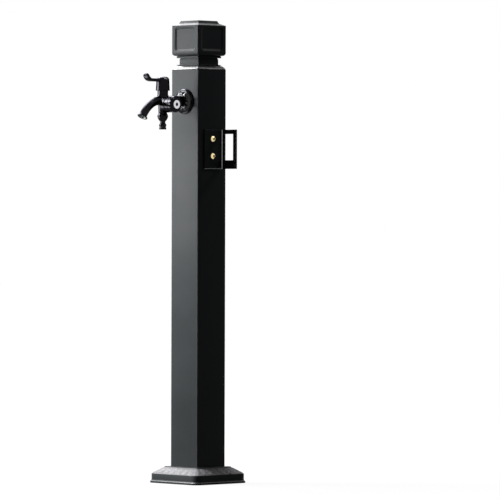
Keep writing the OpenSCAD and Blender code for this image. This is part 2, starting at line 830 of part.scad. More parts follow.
// The spout: a grooved spigot, the arched tube and a flared mouth, whose bores step up in size
module spout() {
    bore_r = spout_bore_d / 2;
    tube_r = spout_d / 2;
    spigot_r = spigot_d / 2;
    spigot_bore_r = bore_r - bore_step;
    spigot_end = spigot_l - handle_gap;
    groove_r = spigot_r - ring_depth;
    groove_half = ring_depth / 2 + ring_gap;
    ring_at = spigot_l / 2;
    mouth_r = mouth_d / 2;
    mouth_bore_r = bore_r + bore_step;
    color(black_chrome) union() {
        at_arch(socket_a) rotate([-90, 0, 0]) rotate_extrude() polygon([
            [spigot_bore_r, -slice], [spigot_r, -slice], [spigot_r, ring_at - groove_half],
            [groove_r, ring_at - groove_half], [groove_r, ring_at + groove_half],
            [spigot_r, ring_at + groove_half], [spigot_r, spigot_end], [spigot_bore_r, spigot_end]
        ]);
        difference() {
            arch(tube_r, socket_a, spout_arch_a);
            arch(bore_r, socket_a - 1, spout_arch_a + 1);
        }
        at_arch(spout_arch_a) rotate([90, 0, 0]) rotate_extrude() polygon([
            [mouth_bore_r, -slice], [tube_r + rim_step, -slice], [mouth_r, mouth_l - mouth_rim],
            [mouth_r, mouth_l - mouth_edge], [mouth_r - mouth_edge, mouth_l], [mouth_bore_r, mouth_l]
        ]);
    }
}

module spout_seal() {
    section_r = ring_depth / 2;
    color(rubber) at_arch(socket_a) rotate([-90, 0, 0]) translate([0, 0, spigot_l / 2])
        torus(spigot_d / 2 - section_r + ring_gap, section_r);
}

// Each valve is drawn upwards from its seat; these put it in the top or the side of the body
module at_top_valve() translate([0, valve_y, top_seat_z]) children();
module at_side_valve() translate([side_seat_x, valve_y, barrel_z]) rotate([0, 90, 0]) rotate(90) children();

// The threaded housing: a sleeve round the discs, with two side ports, and a head with the spindle's bore
module valve_housing() {
    color(black_chrome) difference() {
        union() {
            along_z(housing_r, sleeve_h0, head_h0 + slice);
            along_z(housing_head_d / 2, head_h0, head_top - 1);
            translate([0, 0, head_top - 1])
                cylinder(d1 = housing_head_d, d2 = housing_head_d - 2, h = 1);
        }
        along_z(sleeve_bore_d / 2, 0, shoulder_h0);
        along_z(spindle_r + spindle_clearance, 0, head_top + past);
        translate([-sleeve_port_w / 2, -chamber_r - past, sleeve_port_h0])
            cube([sleeve_port_w, 2 * (chamber_r + past), sleeve_port_h]);
    }
}

module seat_seal() {
    color(rubber) difference() {
        along_z(disc_d / 2, 0, seat_seal_h);
        along_z(water_way_d / 2, -past, seat_seal_h + past);
    }
}

// The disc that stays: its ports lie in front of and behind the axis
module fixed_disc() {
    color(ceramic) translate([0, 0, fixed_disc_h0]) difference() {
        along_z(disc_d / 2, 0, disc_h);
        for (side = [-1, 1]) translate([0, side * port_r, 0]) along_z(port_d / 2, -past, disc_h + past);
    }
}

// The disc that turns: its two notches lie a quarter turn from the other disc's ports when it is shut
module moving_disc() {
    color(ceramic) translate([0, 0, moving_disc_h0]) difference() {
        along_z(disc_d / 2, 0, disc_h);
        for (side = [0, 180]) rotate(side) {
            translate([port_r, 0, 0]) along_z(port_d / 2, -past, disc_h + past);
            translate([port_r, -port_d / 2, -past]) cube([disc_d / 2, port_d, disc_h + 2 * past]);
        }
        translate([-drive_slot_w / 2, -disc_d / 2 - past, disc_h - drive_slot_h])
            cube([drive_slot_w, disc_d + 2 * past, drive_slot_h + past]);
    }
}

// The spindle: a foot with a key for the moving disc, a shaft with a ring's groove, and a driving end
module spindle(drive_l) {
    key_w = drive_slot_w - 2 * thread_gap;
    ring_h = head_h0 + 5;
    color(brass) difference() {
        union() {
            along_z(disc_d / 2, foot_h0, foot_top);
            intersection() {
                translate([-key_w / 2, -disc_d / 2, foot_h0 - drive_slot_h])
                    cube([key_w, disc_d, drive_slot_h + slice]);
                along_z(disc_d / 2 - 0.2, foot_h0 - drive_slot_h, foot_top);
            }
            along_z(spindle_r, foot_top - slice, drive_h0);
            along_z(drive_r, drive_h0 - slice, drive_h0 + drive_l);
        }
        along_z(screw_r, drive_h0 + drive_l - screw_grip - 1, drive_h0 + drive_l + past);
        translate([0, 0, ring_h]) difference() {
            along_z(spindle_r + past, 0, ring_t + 0.2);
            along_z(spindle_r - ring_t, -past, ring_t + 0.2 + past);
        }
    }
}

module spindle_ring() {
    section_r = ring_t / 2 - 0.01;
    color(rubber) translate([0, 0, head_h0 + 5 + ring_t / 2 + 0.1])
        torus(spindle_r - ring_t / 2, section_r);
}

module handle_screw(drive_l) {
    head_h = drive_h0 + drive_l + web_t;
    color(steel) difference() {
        union() {
            along_z(screw_r - thread_gap, head_h - web_t - screw_grip, head_h + slice);
            along_z(screw_head_r, head_h, head_h + handle_screw_head_h);
        }
        translate([0, 0, head_h + 0.6]) cylinder(r = screw_r * 0.7, h = handle_screw_head_h, $fn = 6);
    }
}

// What the hub and the knob have inside: the drive's bore, the screw's hole and its head's well
module handle_bores(drive_l, top) {
    along_z(drive_r + fit_clearance / 2, 0, drive_h0 + drive_l);
    along_z(spindle_r + 0.3, 0, drive_h0 + 0.3);
    along_z(screw_r + 0.1, 0, drive_h0 + drive_l + web_t);
    along_z(head_hole_r, drive_h0 + drive_l + web_t, top + past);
}

// The lever: a tapered hub and an arm that turns up at its round tip
module lever_handle() {
    top = handle_h0 + hub_h;
    foot = handle_h0 - hub_skirt_h;
    skirt_r = housing_head_d / 2 + handle_gap;
    cap_seat = top - 1.2;
    color(black_chrome) at_top_valve() difference() {
        union() {
            rotate_extrude() polygon([
                [0, handle_h0], [skirt_r, handle_h0], [skirt_r, foot],
                [hub_d / 2 - 0.6, foot], [hub_d / 2, foot + 0.6],
                [hub_top_d / 2, top - shoulder_h], [hub_cap_d / 2 + 0.8, top - 0.4],
                [hub_cap_d / 2 + 0.4, top], [0, top]
            ]);
            lever_arm();
        }
        handle_bores(hub_drive_l, top);
        along_z(hub_cap_d / 2, cap_seat, top + past);
    }
}

// The arm is where its side view and its plan meet
module lever_arm() {
    r = paddle_w / 2;
    mid = handle_h0 + arm_rise;
    intersection() {
        rotate([90, 0, 90]) linear_extrude(2 * paddle_w, center = true)
            polygon(concat(
                [for (i = [0:arm_steps]) arm_point(i / arm_steps, -1, mid)],
                [for (i = [arm_steps:-1:0]) arm_point(i / arm_steps, 1, mid)]
            ));
        translate([0, 0, handle_h0]) linear_extrude(hub_h + 2 * arm_bend_r) union() {
            polygon(concat(
                [for (i = [0:curve_steps]) arm_edge(i / curve_steps, -1, r)],
                [for (i = [curve_steps:-1:0]) arm_edge(i / curve_steps, 1, r)]
            ));
            translate([0, -paddle_reach]) circle(r);
        }
    }
}

// The arm's middle line, from t = 0 in the hub to 1 at the tip: [distance out, height, slope]
function arm_line(t) =
    let (
        bend_l = arm_bend_r * arm_bend_a * PI / 180,
        run = t * (arm_flat_l + bend_l + arm_tip_l),
        a = arm_bend_a * min(max((run - arm_flat_l) / bend_l, 0), 1),
        tip = max(run - arm_flat_l - bend_l, 0)
    )
    [
        min(run, arm_flat_l) + arm_bend_r * sin(a) + tip * cos(a),
        arm_bend_r * (1 - cos(a)) + tip * sin(a),
        a
    ];

// A point on the arm's side view, below or above its middle line
function arm_point(t, side, mid) =
    let (
        p = arm_line(t),
        half = side * arm_t / 2 * (1 - 0.3 * max(t - 0.8, 0) / 0.2)
    )
    [half * sin(p[2]) - p[0], mid + p[1] + half * cos(p[2])];

// A point on the arm's edge in plan, from the hub to the paddle's middle
function arm_edge(t, side, r) =
    [side * (waist_w / 2 + (r - waist_w / 2) * smooth(max(t - 0.45, 0) / 0.55)), -paddle_reach * t];

module lever_cap() {
    top = handle_h0 + hub_h;
    seat = top - 1.2;
    color(black_chrome) at_top_valve() {
        domed_plug(hub_cap_d / 2 - fit_clearance, seat, top, hub_cap_dome);
        along_z(head_hole_r - fit_clearance, seat - 3, seat + slice);
    }
}

module side_knob() {
    top = handle_h0 + knob_l;
    r = barrel_d / 2;
    color(black_chrome) at_side_valve() difference() {
        rotate_extrude() polygon([
            [0, handle_h0], [r - 0.5, handle_h0], [r, handle_h0 + 0.5],
            [r, top - knob_bevel], [r - knob_bevel, top], [0, top]
        ]);
        handle_bores(knob_drive_l, top);
        along_z(button_d / 2 + fit_clearance, top - button_t, top + past);
    }
}

module knob_button() {
    top = handle_h0 + knob_l;
    color(mirror_chrome) at_side_valve() domed_plug(button_d / 2, top - button_t, top, button_dome);
}

module hose_washer() {
    color(rubber) translate([0, valve_y, 0]) difference() {
        along_z(nut_thread_r, nipple_flange_z, stem_thread_z);
        along_z(nipple_bore_d / 2 + 0.5, nipple_flange_z - past, stem_thread_z + past);
    }
}

// The coupling nut: an onion-shaped outside over the stem's thread and the nipple's flange
module coupling_nut() {
    collar_r = stem_d / 2;
    belly_r = nut_d / 2;
    foot_r = nut_foot_d / 2;
    top_z = stem_end_z - 0.2;
    color(black_chrome) translate([0, valve_y, 0]) difference() {
        rotate_extrude() polygon(concat(
            [[0, nut_foot_z], [foot_r - 0.5, nut_foot_z], [foot_r, nut_foot_z + 0.5]],
            [
                for (i = [1:curve_steps])
                    let (t = i / curve_steps)
                    [foot_r + (belly_r - foot_r) * sin(90 * t), nut_foot_z + 0.5 + (nut_taper_l - 0.5) * t]
            ],
            [
                for (i = [1:corner_steps])
                    let (t = i / corner_steps)
                    [collar_r + (belly_r - collar_r) * (1 + cos(180 * t)) / 2, nut_z + (top_z - nut_z) * t]
            ],
            [[0, top_z]]
        ));
        along_z(nut_thread_r + fit_clearance, nut_floor_z, top_z + past);
        along_z(nipple_neck_d / 2 + fit_clearance, nut_foot_z - past, top_z);
    }
}

// The hose nipple: a flange held by the nut, a neck, a round collar, a groove and a foot
module hose_nipple() {
    neck_r = nipple_neck_d / 2;
    collar_r = nipple_collar_d / 2;
    foot_r = nipple_foot_d / 2;
    groove_r = foot_r - nipple_groove_depth;
    foot_top_z = nipple_z + nipple_foot_l;
    collar_z = foot_top_z + groove_l;
    collar_l = 7.4;
    color(black_chrome) translate([0, valve_y, 0]) difference() {
        rotate_extrude() polygon(concat(
            [
                [0, nipple_z], [foot_r - 0.6, nipple_z], [foot_r, nipple_z + 0.6],
                [foot_r, foot_top_z], [groove_r, foot_top_z], [groove_r, collar_z]
            ],
            [
                for (i = [0:curve_steps])
                    let (t = i / curve_steps)
                    [
                        neck_r + 0.4 + (collar_r - neck_r - 0.4) * sin(180 * (0.12 + 0.88 * t)),
                        collar_z + collar_l * t
                    ]
            ],
            [
                [neck_r, collar_z + collar_l], [neck_r, nut_floor_z],
                [nut_thread_r - 0.1, nut_floor_z], [nut_thread_r - 0.1, nipple_flange_z],
                [0, nipple_flange_z]
            ]
        ));
        along_z(nipple_bore_d / 2, nipple_z - past, nipple_flange_z + past);
    }
}

module nipple_seal() {
    section_r = (nipple_groove_depth - 2 * ring_gap) / 2;
    color(rubber) translate([0, valve_y, nipple_z + nipple_foot_l + groove_l / 2])
        torus(nipple_foot_d / 2 - ring_gap - section_r, section_r);
}

module at_hook_screws() {
    for (side = [-1, 1])
        translate([0, 0, hook_screw_z + side * hook_screw_pitch / 2]) children();
}

// The hook: a plate on the column's +X face, a bend, and a leg with a window
module hook_bracket() {
    out_r = hook_bend_r + hook_t;
    bend_y = hook_offset - out_r;
    bend_x = face + out_r;
    end_x = face + hook_leg;
    window_z = hook_z + hook_h - window_top_bar - window_h;
    color(black_paint) difference() {
        union() {
            translate([face, hook_offset - hook_plate_w, hook_z])
                cube([hook_t, hook_plate_w - out_r, hook_h]);
            translate([bend_x, hook_offset - hook_t, hook_z])
                cube([end_x - bend_x, hook_t, hook_h]);
            intersection() {
                translate([bend_x, bend_y, hook_z]) cylinder(r = out_r, h = hook_h);
                translate([face, bend_y, hook_z]) cube([out_r, out_r, hook_h]);
            }
        }
        translate([bend_x, bend_y, hook_z - past]) cylinder(r = hook_bend_r, h = hook_h + 2 * past);
        translate([end_x - window_bar - window_w, hook_offset - hook_t - past, window_z])
            cube([window_w, hook_t + 2 * past, window_h]);
        at_hook_screws() along_x(hook_screw_d / 2 + 0.3, face - past, face + hook_t + past);
    }
}

// The hook's screws have round heads with a six-sided socket
module hook_screws() {
    x = face + hook_t;
    rim_h = 0.6;
    color(brass) at_hook_screws() difference() {
        union() {
            along_x(hook_screw_d / 2 - thread_gap, face - 12, x + slice);
            translate([x, 0, 0]) rotate([0, 90, 0])
                domed_plug(hook_screw_head_d / 2, 0, rim_h, hook_screw_head_h - rim_h);
        }
        along_x(hook_screw_d * 0.36, x + hook_screw_head_h * 0.35, x + hook_screw_head_h + past, $fn = 6);
    }
}

// The rivet nuts that hold those screws in the column's thin wall
module rivet_nuts() {
    color(steel) at_hook_screws() difference() {
        union() {
            along_x(rivet_r, face - rivet_l, face);
            along_x(rivet_r + 1.6, inner_face - 3, inner_face - 0.1);
        }
        along_x(hook_screw_d / 2, face - rivet_l - past, face + past);
    }
}

mounting_plate();
base_cover();
column_tube();
column_screws();
finial();
finial_screws();
supply_connector();
riser_pipe();
tap_elbow();
elbow_washer();
escutcheon();
tap_body();
spout();
spout_seal();
at_top_valve() valve_housing();  // top_valve_housing
at_top_valve() seat_seal();  // top_seat_seal
at_top_valve() fixed_disc();  // top_fixed_disc
at_top_valve() moving_disc();  // top_moving_disc
at_top_valve() spindle(hub_drive_l);  // top_spindle
at_top_valve() spindle_ring();  // top_spindle_ring
lever_handle();
at_top_valve() handle_screw(hub_drive_l);  // lever_screw
lever_cap();
at_side_valve() valve_housing();  // side_valve_housing
at_side_valve() seat_seal();  // side_seat_seal
at_side_valve() fixed_disc();  // side_fixed_disc
at_side_valve() moving_disc();  // side_moving_disc
at_side_valve() spindle(knob_drive_l);  // side_spindle
at_side_valve() spindle_ring();  // side_spindle_ring
side_knob();
at_side_valve() handle_screw(knob_drive_l);  // knob_screw
knob_button();
hose_washer();
coupling_nut();
hose_nipple();
nipple_seal();
hook_bracket();
hook_screws();
rivet_nuts();
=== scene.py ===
"""A garden standpipe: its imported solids, dressed for a studio view. Lengths are in millimetres."""
import json
import math

import bpy
import bmesh
from mathutils import Matrix, Vector

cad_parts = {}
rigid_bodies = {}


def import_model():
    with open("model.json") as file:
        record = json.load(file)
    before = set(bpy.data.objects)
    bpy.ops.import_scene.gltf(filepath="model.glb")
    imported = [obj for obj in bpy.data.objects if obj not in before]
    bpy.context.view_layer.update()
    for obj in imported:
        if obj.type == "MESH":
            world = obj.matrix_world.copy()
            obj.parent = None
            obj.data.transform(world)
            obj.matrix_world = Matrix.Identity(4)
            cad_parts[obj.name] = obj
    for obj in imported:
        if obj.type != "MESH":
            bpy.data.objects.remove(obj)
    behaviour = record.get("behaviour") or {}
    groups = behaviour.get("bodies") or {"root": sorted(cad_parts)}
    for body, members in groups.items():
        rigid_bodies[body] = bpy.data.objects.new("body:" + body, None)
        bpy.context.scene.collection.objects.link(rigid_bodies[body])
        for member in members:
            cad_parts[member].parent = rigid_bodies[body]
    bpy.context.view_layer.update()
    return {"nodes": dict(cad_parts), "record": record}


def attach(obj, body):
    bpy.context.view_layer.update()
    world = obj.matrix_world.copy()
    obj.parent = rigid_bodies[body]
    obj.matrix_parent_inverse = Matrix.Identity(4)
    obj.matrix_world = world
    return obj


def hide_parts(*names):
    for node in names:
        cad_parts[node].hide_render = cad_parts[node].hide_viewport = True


for old in list(bpy.data.objects):
    bpy.data.objects.remove(old)

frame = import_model()

MM = 0.001

# Half the column's width, its foot inside the base cover, and its top
FACE = 40.0
COLUMN_FOOT, COLUMN_TOP = 6.0, 853.0

# The tap: its upright valve axis, the barrel's and inlet's axes, and the lever's lowest and top faces
VALVE_Y = -102.0
BARREL_Z, BARREL_R = 780.0, 16.5
INLET_Z = 788.0
HUB_Z, HUB_TOP = 809.75, 836.25

# The spout's arch: its centre, its radius, and its angles where it leaves the casting and where it ends
ARCH_Z, ARCH_R = 726.5, 63.0
SOCKET_A, SPOUT_A = 18.5, 61.0


# Meshes

def mesh_piece(name, verts, faces, material, sharp=32.0):
    """A smooth-shaded mesh from millimetre points, with its faces turned outwards."""
    mesh = bpy.data.meshes.new(name)
    mesh.from_pydata([Vector(v) * MM for v in verts], [], faces)
    bm = bmesh.new()
    bm.from_mesh(mesh)
    bmesh.ops.remove_doubles(bm, verts=bm.verts, dist=1e-7)
    bmesh.ops.dissolve_degenerate(bm, edges=bm.edges, dist=1e-8)
    bmesh.ops.recalc_face_normals(bm, faces=bm.faces)
    bm.to_mesh(mesh)
    bm.free()
    shade(mesh, sharp)
    mesh.materials.append(material)
    obj = bpy.data.objects.new(name, mesh)
    bpy.context.scene.collection.objects.link(obj)
    return obj


def shade(mesh, sharp):
    """Smooth shading, but for edges whose faces meet at more than sharp degrees."""
    mesh.shade_smooth()
    mesh.set_sharp_from_angle(angle=math.radians(sharp))


def settle(obj, body, slot, *nodes):
    """Says what the piece moves with and which solids it stands for; its slot is not used."""
    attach(obj, body)
    if nodes:
        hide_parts(*nodes)


def refinish(obj, material, chosen):
    """Gives the material to the faces that are chosen by their middle, in millimetres, and normal."""
    index = len(obj.data.materials)
    obj.data.materials.append(material)
    for face in obj.data.polygons:
        if chosen(face.center / MM, face.normal):
            face.material_index = index


def apply_modifiers(obj):
    graph = bpy.context.evaluated_depsgraph_get()
    made = bpy.data.meshes.new_from_object(obj.evaluated_get(graph))
    old = obj.data
    obj.modifiers.clear()
    obj.data = made
    made.name = old.name
    bpy.data.meshes.remove(old)


ARC_STEP = 12  # degrees


def filleted(points):
    """Points of an open line, each (x, y) or (x, y, radius), with arcs at the radii."""
    out = []
    for i, p in enumerate(points):
        here = Vector(p[:2])
        radius = p[2] if len(p) > 2 else 0
        if not radius or i in (0, len(points) - 1):
            out.append(tuple(here))
            continue
        a = Vector(points[i - 1][:2]) - here
        b = Vector(points[i + 1][:2]) - here
        half = a.angle(b) / 2
        cut = min(radius / math.tan(half), 0.49 * a.length, 0.49 * b.length)
        radius = cut * math.tan(half)
        a.normalize()
        b.normalize()
        centre = here + (a + b).normalized() * radius / math.sin(half)
        start = here + a * cut - centre
        sweep = start.angle_signed(here + b * cut - centre)
        steps = max(2, round(abs(math.degrees(sweep)) / ARC_STEP))
        for k in range(steps + 1):
            t = -sweep * k / steps
            c, s = math.cos(t), math.sin(t)
            out.append((centre.x + start.x * c - start.y * s, centre.y + start.x * s + start.y * c))
    return out


def loft(rings, closed_ends=(True, True)):
    """Vertices and faces through rings that all have the same number of points."""
    n = len(rings[0])
    verts = [p for ring in rings for p in ring]
    faces = []
    for i in range(len(rings) - 1):
        for j in range(n):
            k = (j + 1) % n
            faces.append((i * n + j, i * n + k, (i + 1) * n + k, (i + 1) * n + j))
    for end, first in ((0, 0), (1, (len(rings) - 1) * n)):
        if closed_ends[end]:
            centre = sum((Vector(p) for p in rings[-end]), Vector()) / n
            verts.append(tuple(centre))
            faces += [(first + j, first + (j + 1) % n, len(verts) - 1) for j in range(n)]
    return verts, faces


def circle(n):
    return [2 * math.pi * k / n for k in range(n)]


def lathe(profile, place, segments=96):
    """A turned shape: profile is (radius, height) and place maps a point to the part."""
    return loft([
        [place(r * math.cos(a), r * math.sin(a), h) for a in circle(segments)] for r, h in profile
    ])


def upright(a, b, h):
    return (a, b + VALVE_Y, h)


def along_x(a, b, h):
    return (h, VALVE_Y + a, BARREL_Z + b)


def along_front(a, b, h):
    return (a, -h, INLET_Z + b)


def square_ring(half, radius, z, corner=8, side=1):
    """A square with round corners, anticlockwise, with extra points along its sides."""
    ring = []
    c = half - radius
    for k, (sx, sy) in enumerate(((1, 1), (-1, 1), (-1, -1), (1, -1))):
        for i in range(corner + 1):
            a = math.radians(90 * (k + i / corner))
            ring.append(Vector((sx * c + radius * math.cos(a), sy * c + radius * math.sin(a), z)))
        start = ring[-1]
        turn = math.radians(90 * (k + 1))
        along = Vector((-math.sin(turn), math.cos(turn), 0)) * 2 * c
        ring += [start + along * i / side for i in range(1, side)]
    return ring


def arch_ring(angle, radius, out=0.0):
    """A ring round the spout's arch; out moves it on along the arch's direction there."""
    a = math.radians(angle)
    up = Vector((0, -math.sin(a), math.cos(a)))
    on = Vector((0, -math.cos(a), -math.sin(a)))
    side = Vector((1, 0, 0))
    centre = Vector((0, VALVE_Y, ARCH_Z)) + up * ARCH_R + on * out
    return [centre + radius * (side * math.cos(t) + up * math.sin(t)) for t in circle(64)]


def melt(obj, voxel, passes):
    """Joins overlapping shells into one skin and softens the lines where they meet."""
    remesh = obj.modifiers.new("skin", "REMESH")
    remesh.mode = "VOXEL"
    remesh.voxel_size = voxel * MM
    remesh.adaptivity = 0
    smooth = obj.modifiers.new("soften", "SMOOTH")
    smooth.iterations = passes
    smooth.factor = 0.5
    apply_modifiers(obj)
    obj.data.shade_smooth()


def true_up(obj, place, radius_at, low, high, slack=0.4):
    """Moves melted points back onto an exact turned surface round the lathe's axis."""
    foot = Vector(place(0, 0, 0))
    along = (Vector(place(0, 0, 1)) - foot).normalized()
    for vertex in obj.data.vertices:
        run = vertex.co / MM - foot
        h = run.dot(along)
        out = run - along * h
        if low < h < high and abs(out.length - radius_at(h)) < slack:
            vertex.co = (foot + along * h + out.normalized() * radius_at(h)) * MM


def joined(shells):
    """Vertices and faces of several shells as one mesh."""
    verts, faces = [], []
    for v, f in shells:
        base = len(verts)
        verts += [tuple(p) for p in v]
        faces += [tuple(i + base for i in face) for face in f]
    return verts, faces


# Materials

# A noise mostly stays between these, so they are where a finish reaches its two ends
NOISE_LOW, NOISE_HIGH = 0.3, 0.7
GRAIN_DEPTH = 0.0003


def noise(tree, coords, scale, detail):
    node = tree.nodes.new("ShaderNodeTexNoise")
    node.inputs["Scale"].default_value = scale
    node.inputs["Detail"].default_value = detail
    node.inputs["Roughness"].default_value = 0.55
    tree.links.new(coords, node.inputs["Vector"])
    return node.outputs["Fac"]


def ramp(tree, value, dark, light):
    node = tree.nodes.new("ShaderNodeValToRGB")
    ends = ((NOISE_LOW, dark), (NOISE_HIGH, light))
    for element, (at, colour) in zip(node.color_ramp.elements, ends):
        element.position = at
        element.color = (*colour, 1)
    tree.links.new(value, node.inputs["Fac"])
    return node.outputs["Color"]


def spread(tree, value, low, high):
    node = tree.nodes.new("ShaderNodeMapRange")
    node.inputs["From Min"].default_value = NOISE_LOW
    node.inputs["From Max"].default_value = NOISE_HIGH
    node.inputs["To Min"].default_value = low
    node.inputs["To Max"].default_value = high
    tree.links.new(value, node.inputs["Value"])
    return node.outputs["Result"]


def bump(tree, shader, height, strength):
    node = tree.nodes.new("ShaderNodeBump")
    node.inputs["Strength"].default_value = strength
    node.inputs["Distance"].default_value = GRAIN_DEPTH
    tree.links.new(height, node.inputs["Height"])
    tree.links.new(node.outputs["Normal"], shader.inputs["Normal"])


def surface(name, dark, light, rough, cloud, grain, bump_by, metallic=0.0, specular=0.5, tint=(1, 1, 1)):
    """A finish whose colour drifts slowly, and whose roughness and height have a fine grain."""
    material = bpy.data.materials.new(name)
    material.use_nodes = True
    tree = material.node_tree
    shader = tree.nodes["Principled BSDF"]
    shader.inputs["Metallic"].default_value = metallic
    shader.inputs["Specular IOR Level"].default_value = specular
    shader.inputs["Specular Tint"].default_value = (*tint, 1)
    coords = tree.nodes.new("ShaderNodeTexCoord").outputs["Object"]
    drift = noise(tree, coords, cloud, detail=4.0)
    tree.links.new(ramp(tree, drift, dark, light), shader.inputs["Base Color"])
    fine = noise(tree, coords, grain, detail=2.0)
    tree.links.new(spread(tree, fine, *rough), shader.inputs["Roughness"])
    bump(tree, shader, fine, bump_by)
    return material


def paint(name, dark, light, rough, bump_by, specular):
    return surface(name, dark, light, rough, cloud=9.0, grain=1100.0, bump_by=bump_by, specular=specular)


def carved(name, dark, light):
    """The paint of the carved slope: paler than the black, a painted sheen for the light its upward faces
    catch.
    """
    return surface(name, dark, light, (0.42, 0.55), cloud=60.0, grain=1000.0, bump_by=0.14, specular=0.10)


def metal(name, dark, light, rough, cloud, grain, bump_by, tint=(1, 1, 1)):
    return surface(name, dark, light, rough, cloud, grain, bump_by, metallic=1.0, tint=tint)


BLACK, BLACK_LIGHT = (0.024, 0.0265, 0.0275), (0.031, 0.0335, 0.035)
BLACK_ROUGH = (0.27, 0.35)
PAINT = paint("satin_black_paint", BLACK, BLACK_LIGHT, BLACK_ROUGH, bump_by=0.10, specular=0.02)
# Paler paint for the column's rounded corners: a painted highlight for the light that runs along them.
CORNER_HIGHLIGHT_PAINT = paint("corner_painted_highlight", (0.070, 0.073, 0.075), (0.085, 0.088, 0.091), (0.32, 0.42),
                   bump_by=0.10, specular=0.02)
MOULDING = paint("glossier_mouldings", BLACK, BLACK_LIGHT, BLACK_ROUGH, bump_by=0.03, specular=0.23)
# The carved slope's paints: pale for a painted sheen, with the raised leaves paler still as a painted
# highlight on them.
ORNAMENT_SHEEN = carved("ornament_painted_sheen", (0.100, 0.098, 0.103), (0.135, 0.132, 0.138))
GROUND_SHEEN = carved("ornament_ground_painted_sheen", (0.065, 0.064, 0.067), (0.085, 0.084, 0.087))

# The tint is how much a metal reflects at a grazing angle, as a share of full
PLATE_TINT, CAP_HIGHLIGHT_TINT = (0.61, 0.61, 0.63), (0.40, 0.40, 0.44)
CHROME = metal("black_chrome_plate", (0.007, 0.007, 0.008), (0.009, 0.009, 0.010), (0.08, 0.16),
               cloud=60.0, grain=260.0, bump_by=0.02, tint=PLATE_TINT)
SPOUT = metal("brushed_black_chrome", (0.009, 0.009, 0.010), (0.012, 0.012, 0.014), (0.14, 0.20),
              cloud=60.0, grain=260.0, bump_by=0.02, tint=PLATE_TINT)
# Paler chrome for the escutcheon's leaves: a painted sheen for the light they reflect.
PETAL_SHEEN = metal("leaf_chrome_painted_sheen", (0.016, 0.016, 0.017), (0.032, 0.032, 0.033), (0.12, 0.20),
              cloud=240.0, grain=700.0, bump_by=0.05, tint=PLATE_TINT)
# A pale plate for the lever's cap and the hub's upward shoulder: a painted highlight for the light off their
# tops.
CAP_HIGHLIGHT = metal("cap_painted_highlight", (0.20, 0.20, 0.23), (0.27, 0.27, 0.30), (0.12, 0.20),
            cloud=90.0, grain=400.0, bump_by=0.02, tint=CAP_HIGHLIGHT_TINT)
# A paler metal for the hook's inner bend and lower edge: a painted highlight along those lines.
EDGE_HIGHLIGHT_METAL = metal("sheet_edge_painted_highlight", (0.13, 0.14, 0.14), (0.24, 0.25, 0.25), (0.25, 0.40),
             cloud=160.0, grain=1200.0, bump_by=0.08)
MIRROR = metal("polished_chrome", (0.60, 0.60, 0.62), (0.72, 0.72, 0.74), (0.05, 0.10),
               cloud=90.0, grain=400.0, bump_by=0.01)
BRASS = metal("machined_brass", (0.68, 0.52, 0.24), (0.80, 0.64, 0.33), (0.22, 0.34),
              cloud=80.0, grain=700.0, bump_by=0.06)
SCREW_BRASS = metal("brushed_brass", (0.72, 0.58, 0.27), (0.88, 0.76, 0.44), (0.22, 0.36),
                    cloud=300.0, grain=1500.0, bump_by=0.10)
ZINC = metal("zinc_plated_steel", (0.50, 0.51, 0.53), (0.66, 0.67, 0.69), (0.28, 0.42),
             cloud=40.0, grain=600.0, bump_by=0.08)
BORE = surface("grey_green_bore", (0.26, 0.31, 0.28), (0.34, 0.39, 0.36), (0.40, 0.50),
               cloud=200.0, grain=900.0, bump_by=0.04)
RUBBER = surface("black_rubber", (0.016, 0.016, 0.017), (0.030, 0.030, 0.031), (0.62, 0.78),
                 cloud=60.0, grain=1400.0, bump_by=0.25, specular=0.35)
CERAMIC = surface("lapped_ceramic", (0.80, 0.79, 0.74), (0.90, 0.89, 0.85), (0.10, 0.18),
                  cloud=50.0, grain=900.0, bump_by=0.01)
PIPE = surface("white_pipe_plastic", (0.72, 0.72, 0.70), (0.80, 0.80, 0.78), (0.42, 0.52),
               cloud=20.0, grain=800.0, bump_by=0.05)

SLOT_MATERIALS = {
    "black_paint": PAINT, "black_chrome": CHROME, "mirror_chrome": MIRROR, "brass": BRASS,
    "screw_brass": SCREW_BRASS, "zinc_steel": ZINC, "rubber": RUBBER, "ceramic": CERAMIC,
    "pipe_plastic": PIPE,
}
for entry in frame["record"]["subparts"]:
    for held in frame["nodes"][entry["node"]].material_slots:
        held.material = SLOT_MATERIALS[entry["material_slot"]]


# The column: a square tube with round corners

def column():
    rings = [
        square_ring(half, radius, z, corner=10)
        for half, radius, z in (
            (38.0, 0.6, COLUMN_FOOT), (39.6, 2.1, COLUMN_FOOT), (FACE, 2.5, COLUMN_FOOT + 0.4),
            (FACE, 2.5, 430.0), (FACE, 2.5, COLUMN_TOP - 0.2), (39.8, 2.3, COLUMN_TOP),
            (38.0, 0.6, COLUMN_TOP), (38.0, 0.6, COLUMN_FOOT),
        )
    ]
    piece = mesh_piece("column_skin", *loft(rings, (False, False)), PAINT)
    # The rounded corners take the paler paint, a painted highlight.
    refinish(piece, CORNER_HIGHLIGHT_PAINT, lambda p, normal: min(abs(normal.x), abs(normal.y)) > 0.1)
    settle(piece, "standpipe", "black_paint", "column_tube")


# The finial: square mouldings, and a block with a sunk panel in each side

# Half the panel's width and height, its corners' radius, how deep it is sunk and how wide its slope is
PANEL_W, PANEL_H, PANEL_R, PANEL_DEPTH, PANEL_SLOPE = 31.0, 25.0, 8.0, 2.5, 4.5
PANEL_Z = 916.75
PANEL_STEPS = 8
BLOCK_LOW, BLOCK_HIGH, BLOCK_TOP = 888.5, 944.5, 945.0
SKIRT_H, SKIRT_IN, SKIRT_STEPS = 9.0, 7.0, 12
COVE_R, COVE_STEPS = 6.0, 8
CORNER_R, CORNER_STEPS = 2.5, 6
TAB_IN, TAB_OUT, TAB_HALF, TAB_LOW, TAB_HIGH = 34.9, 37.7, 28.0, 828.0, 856.0


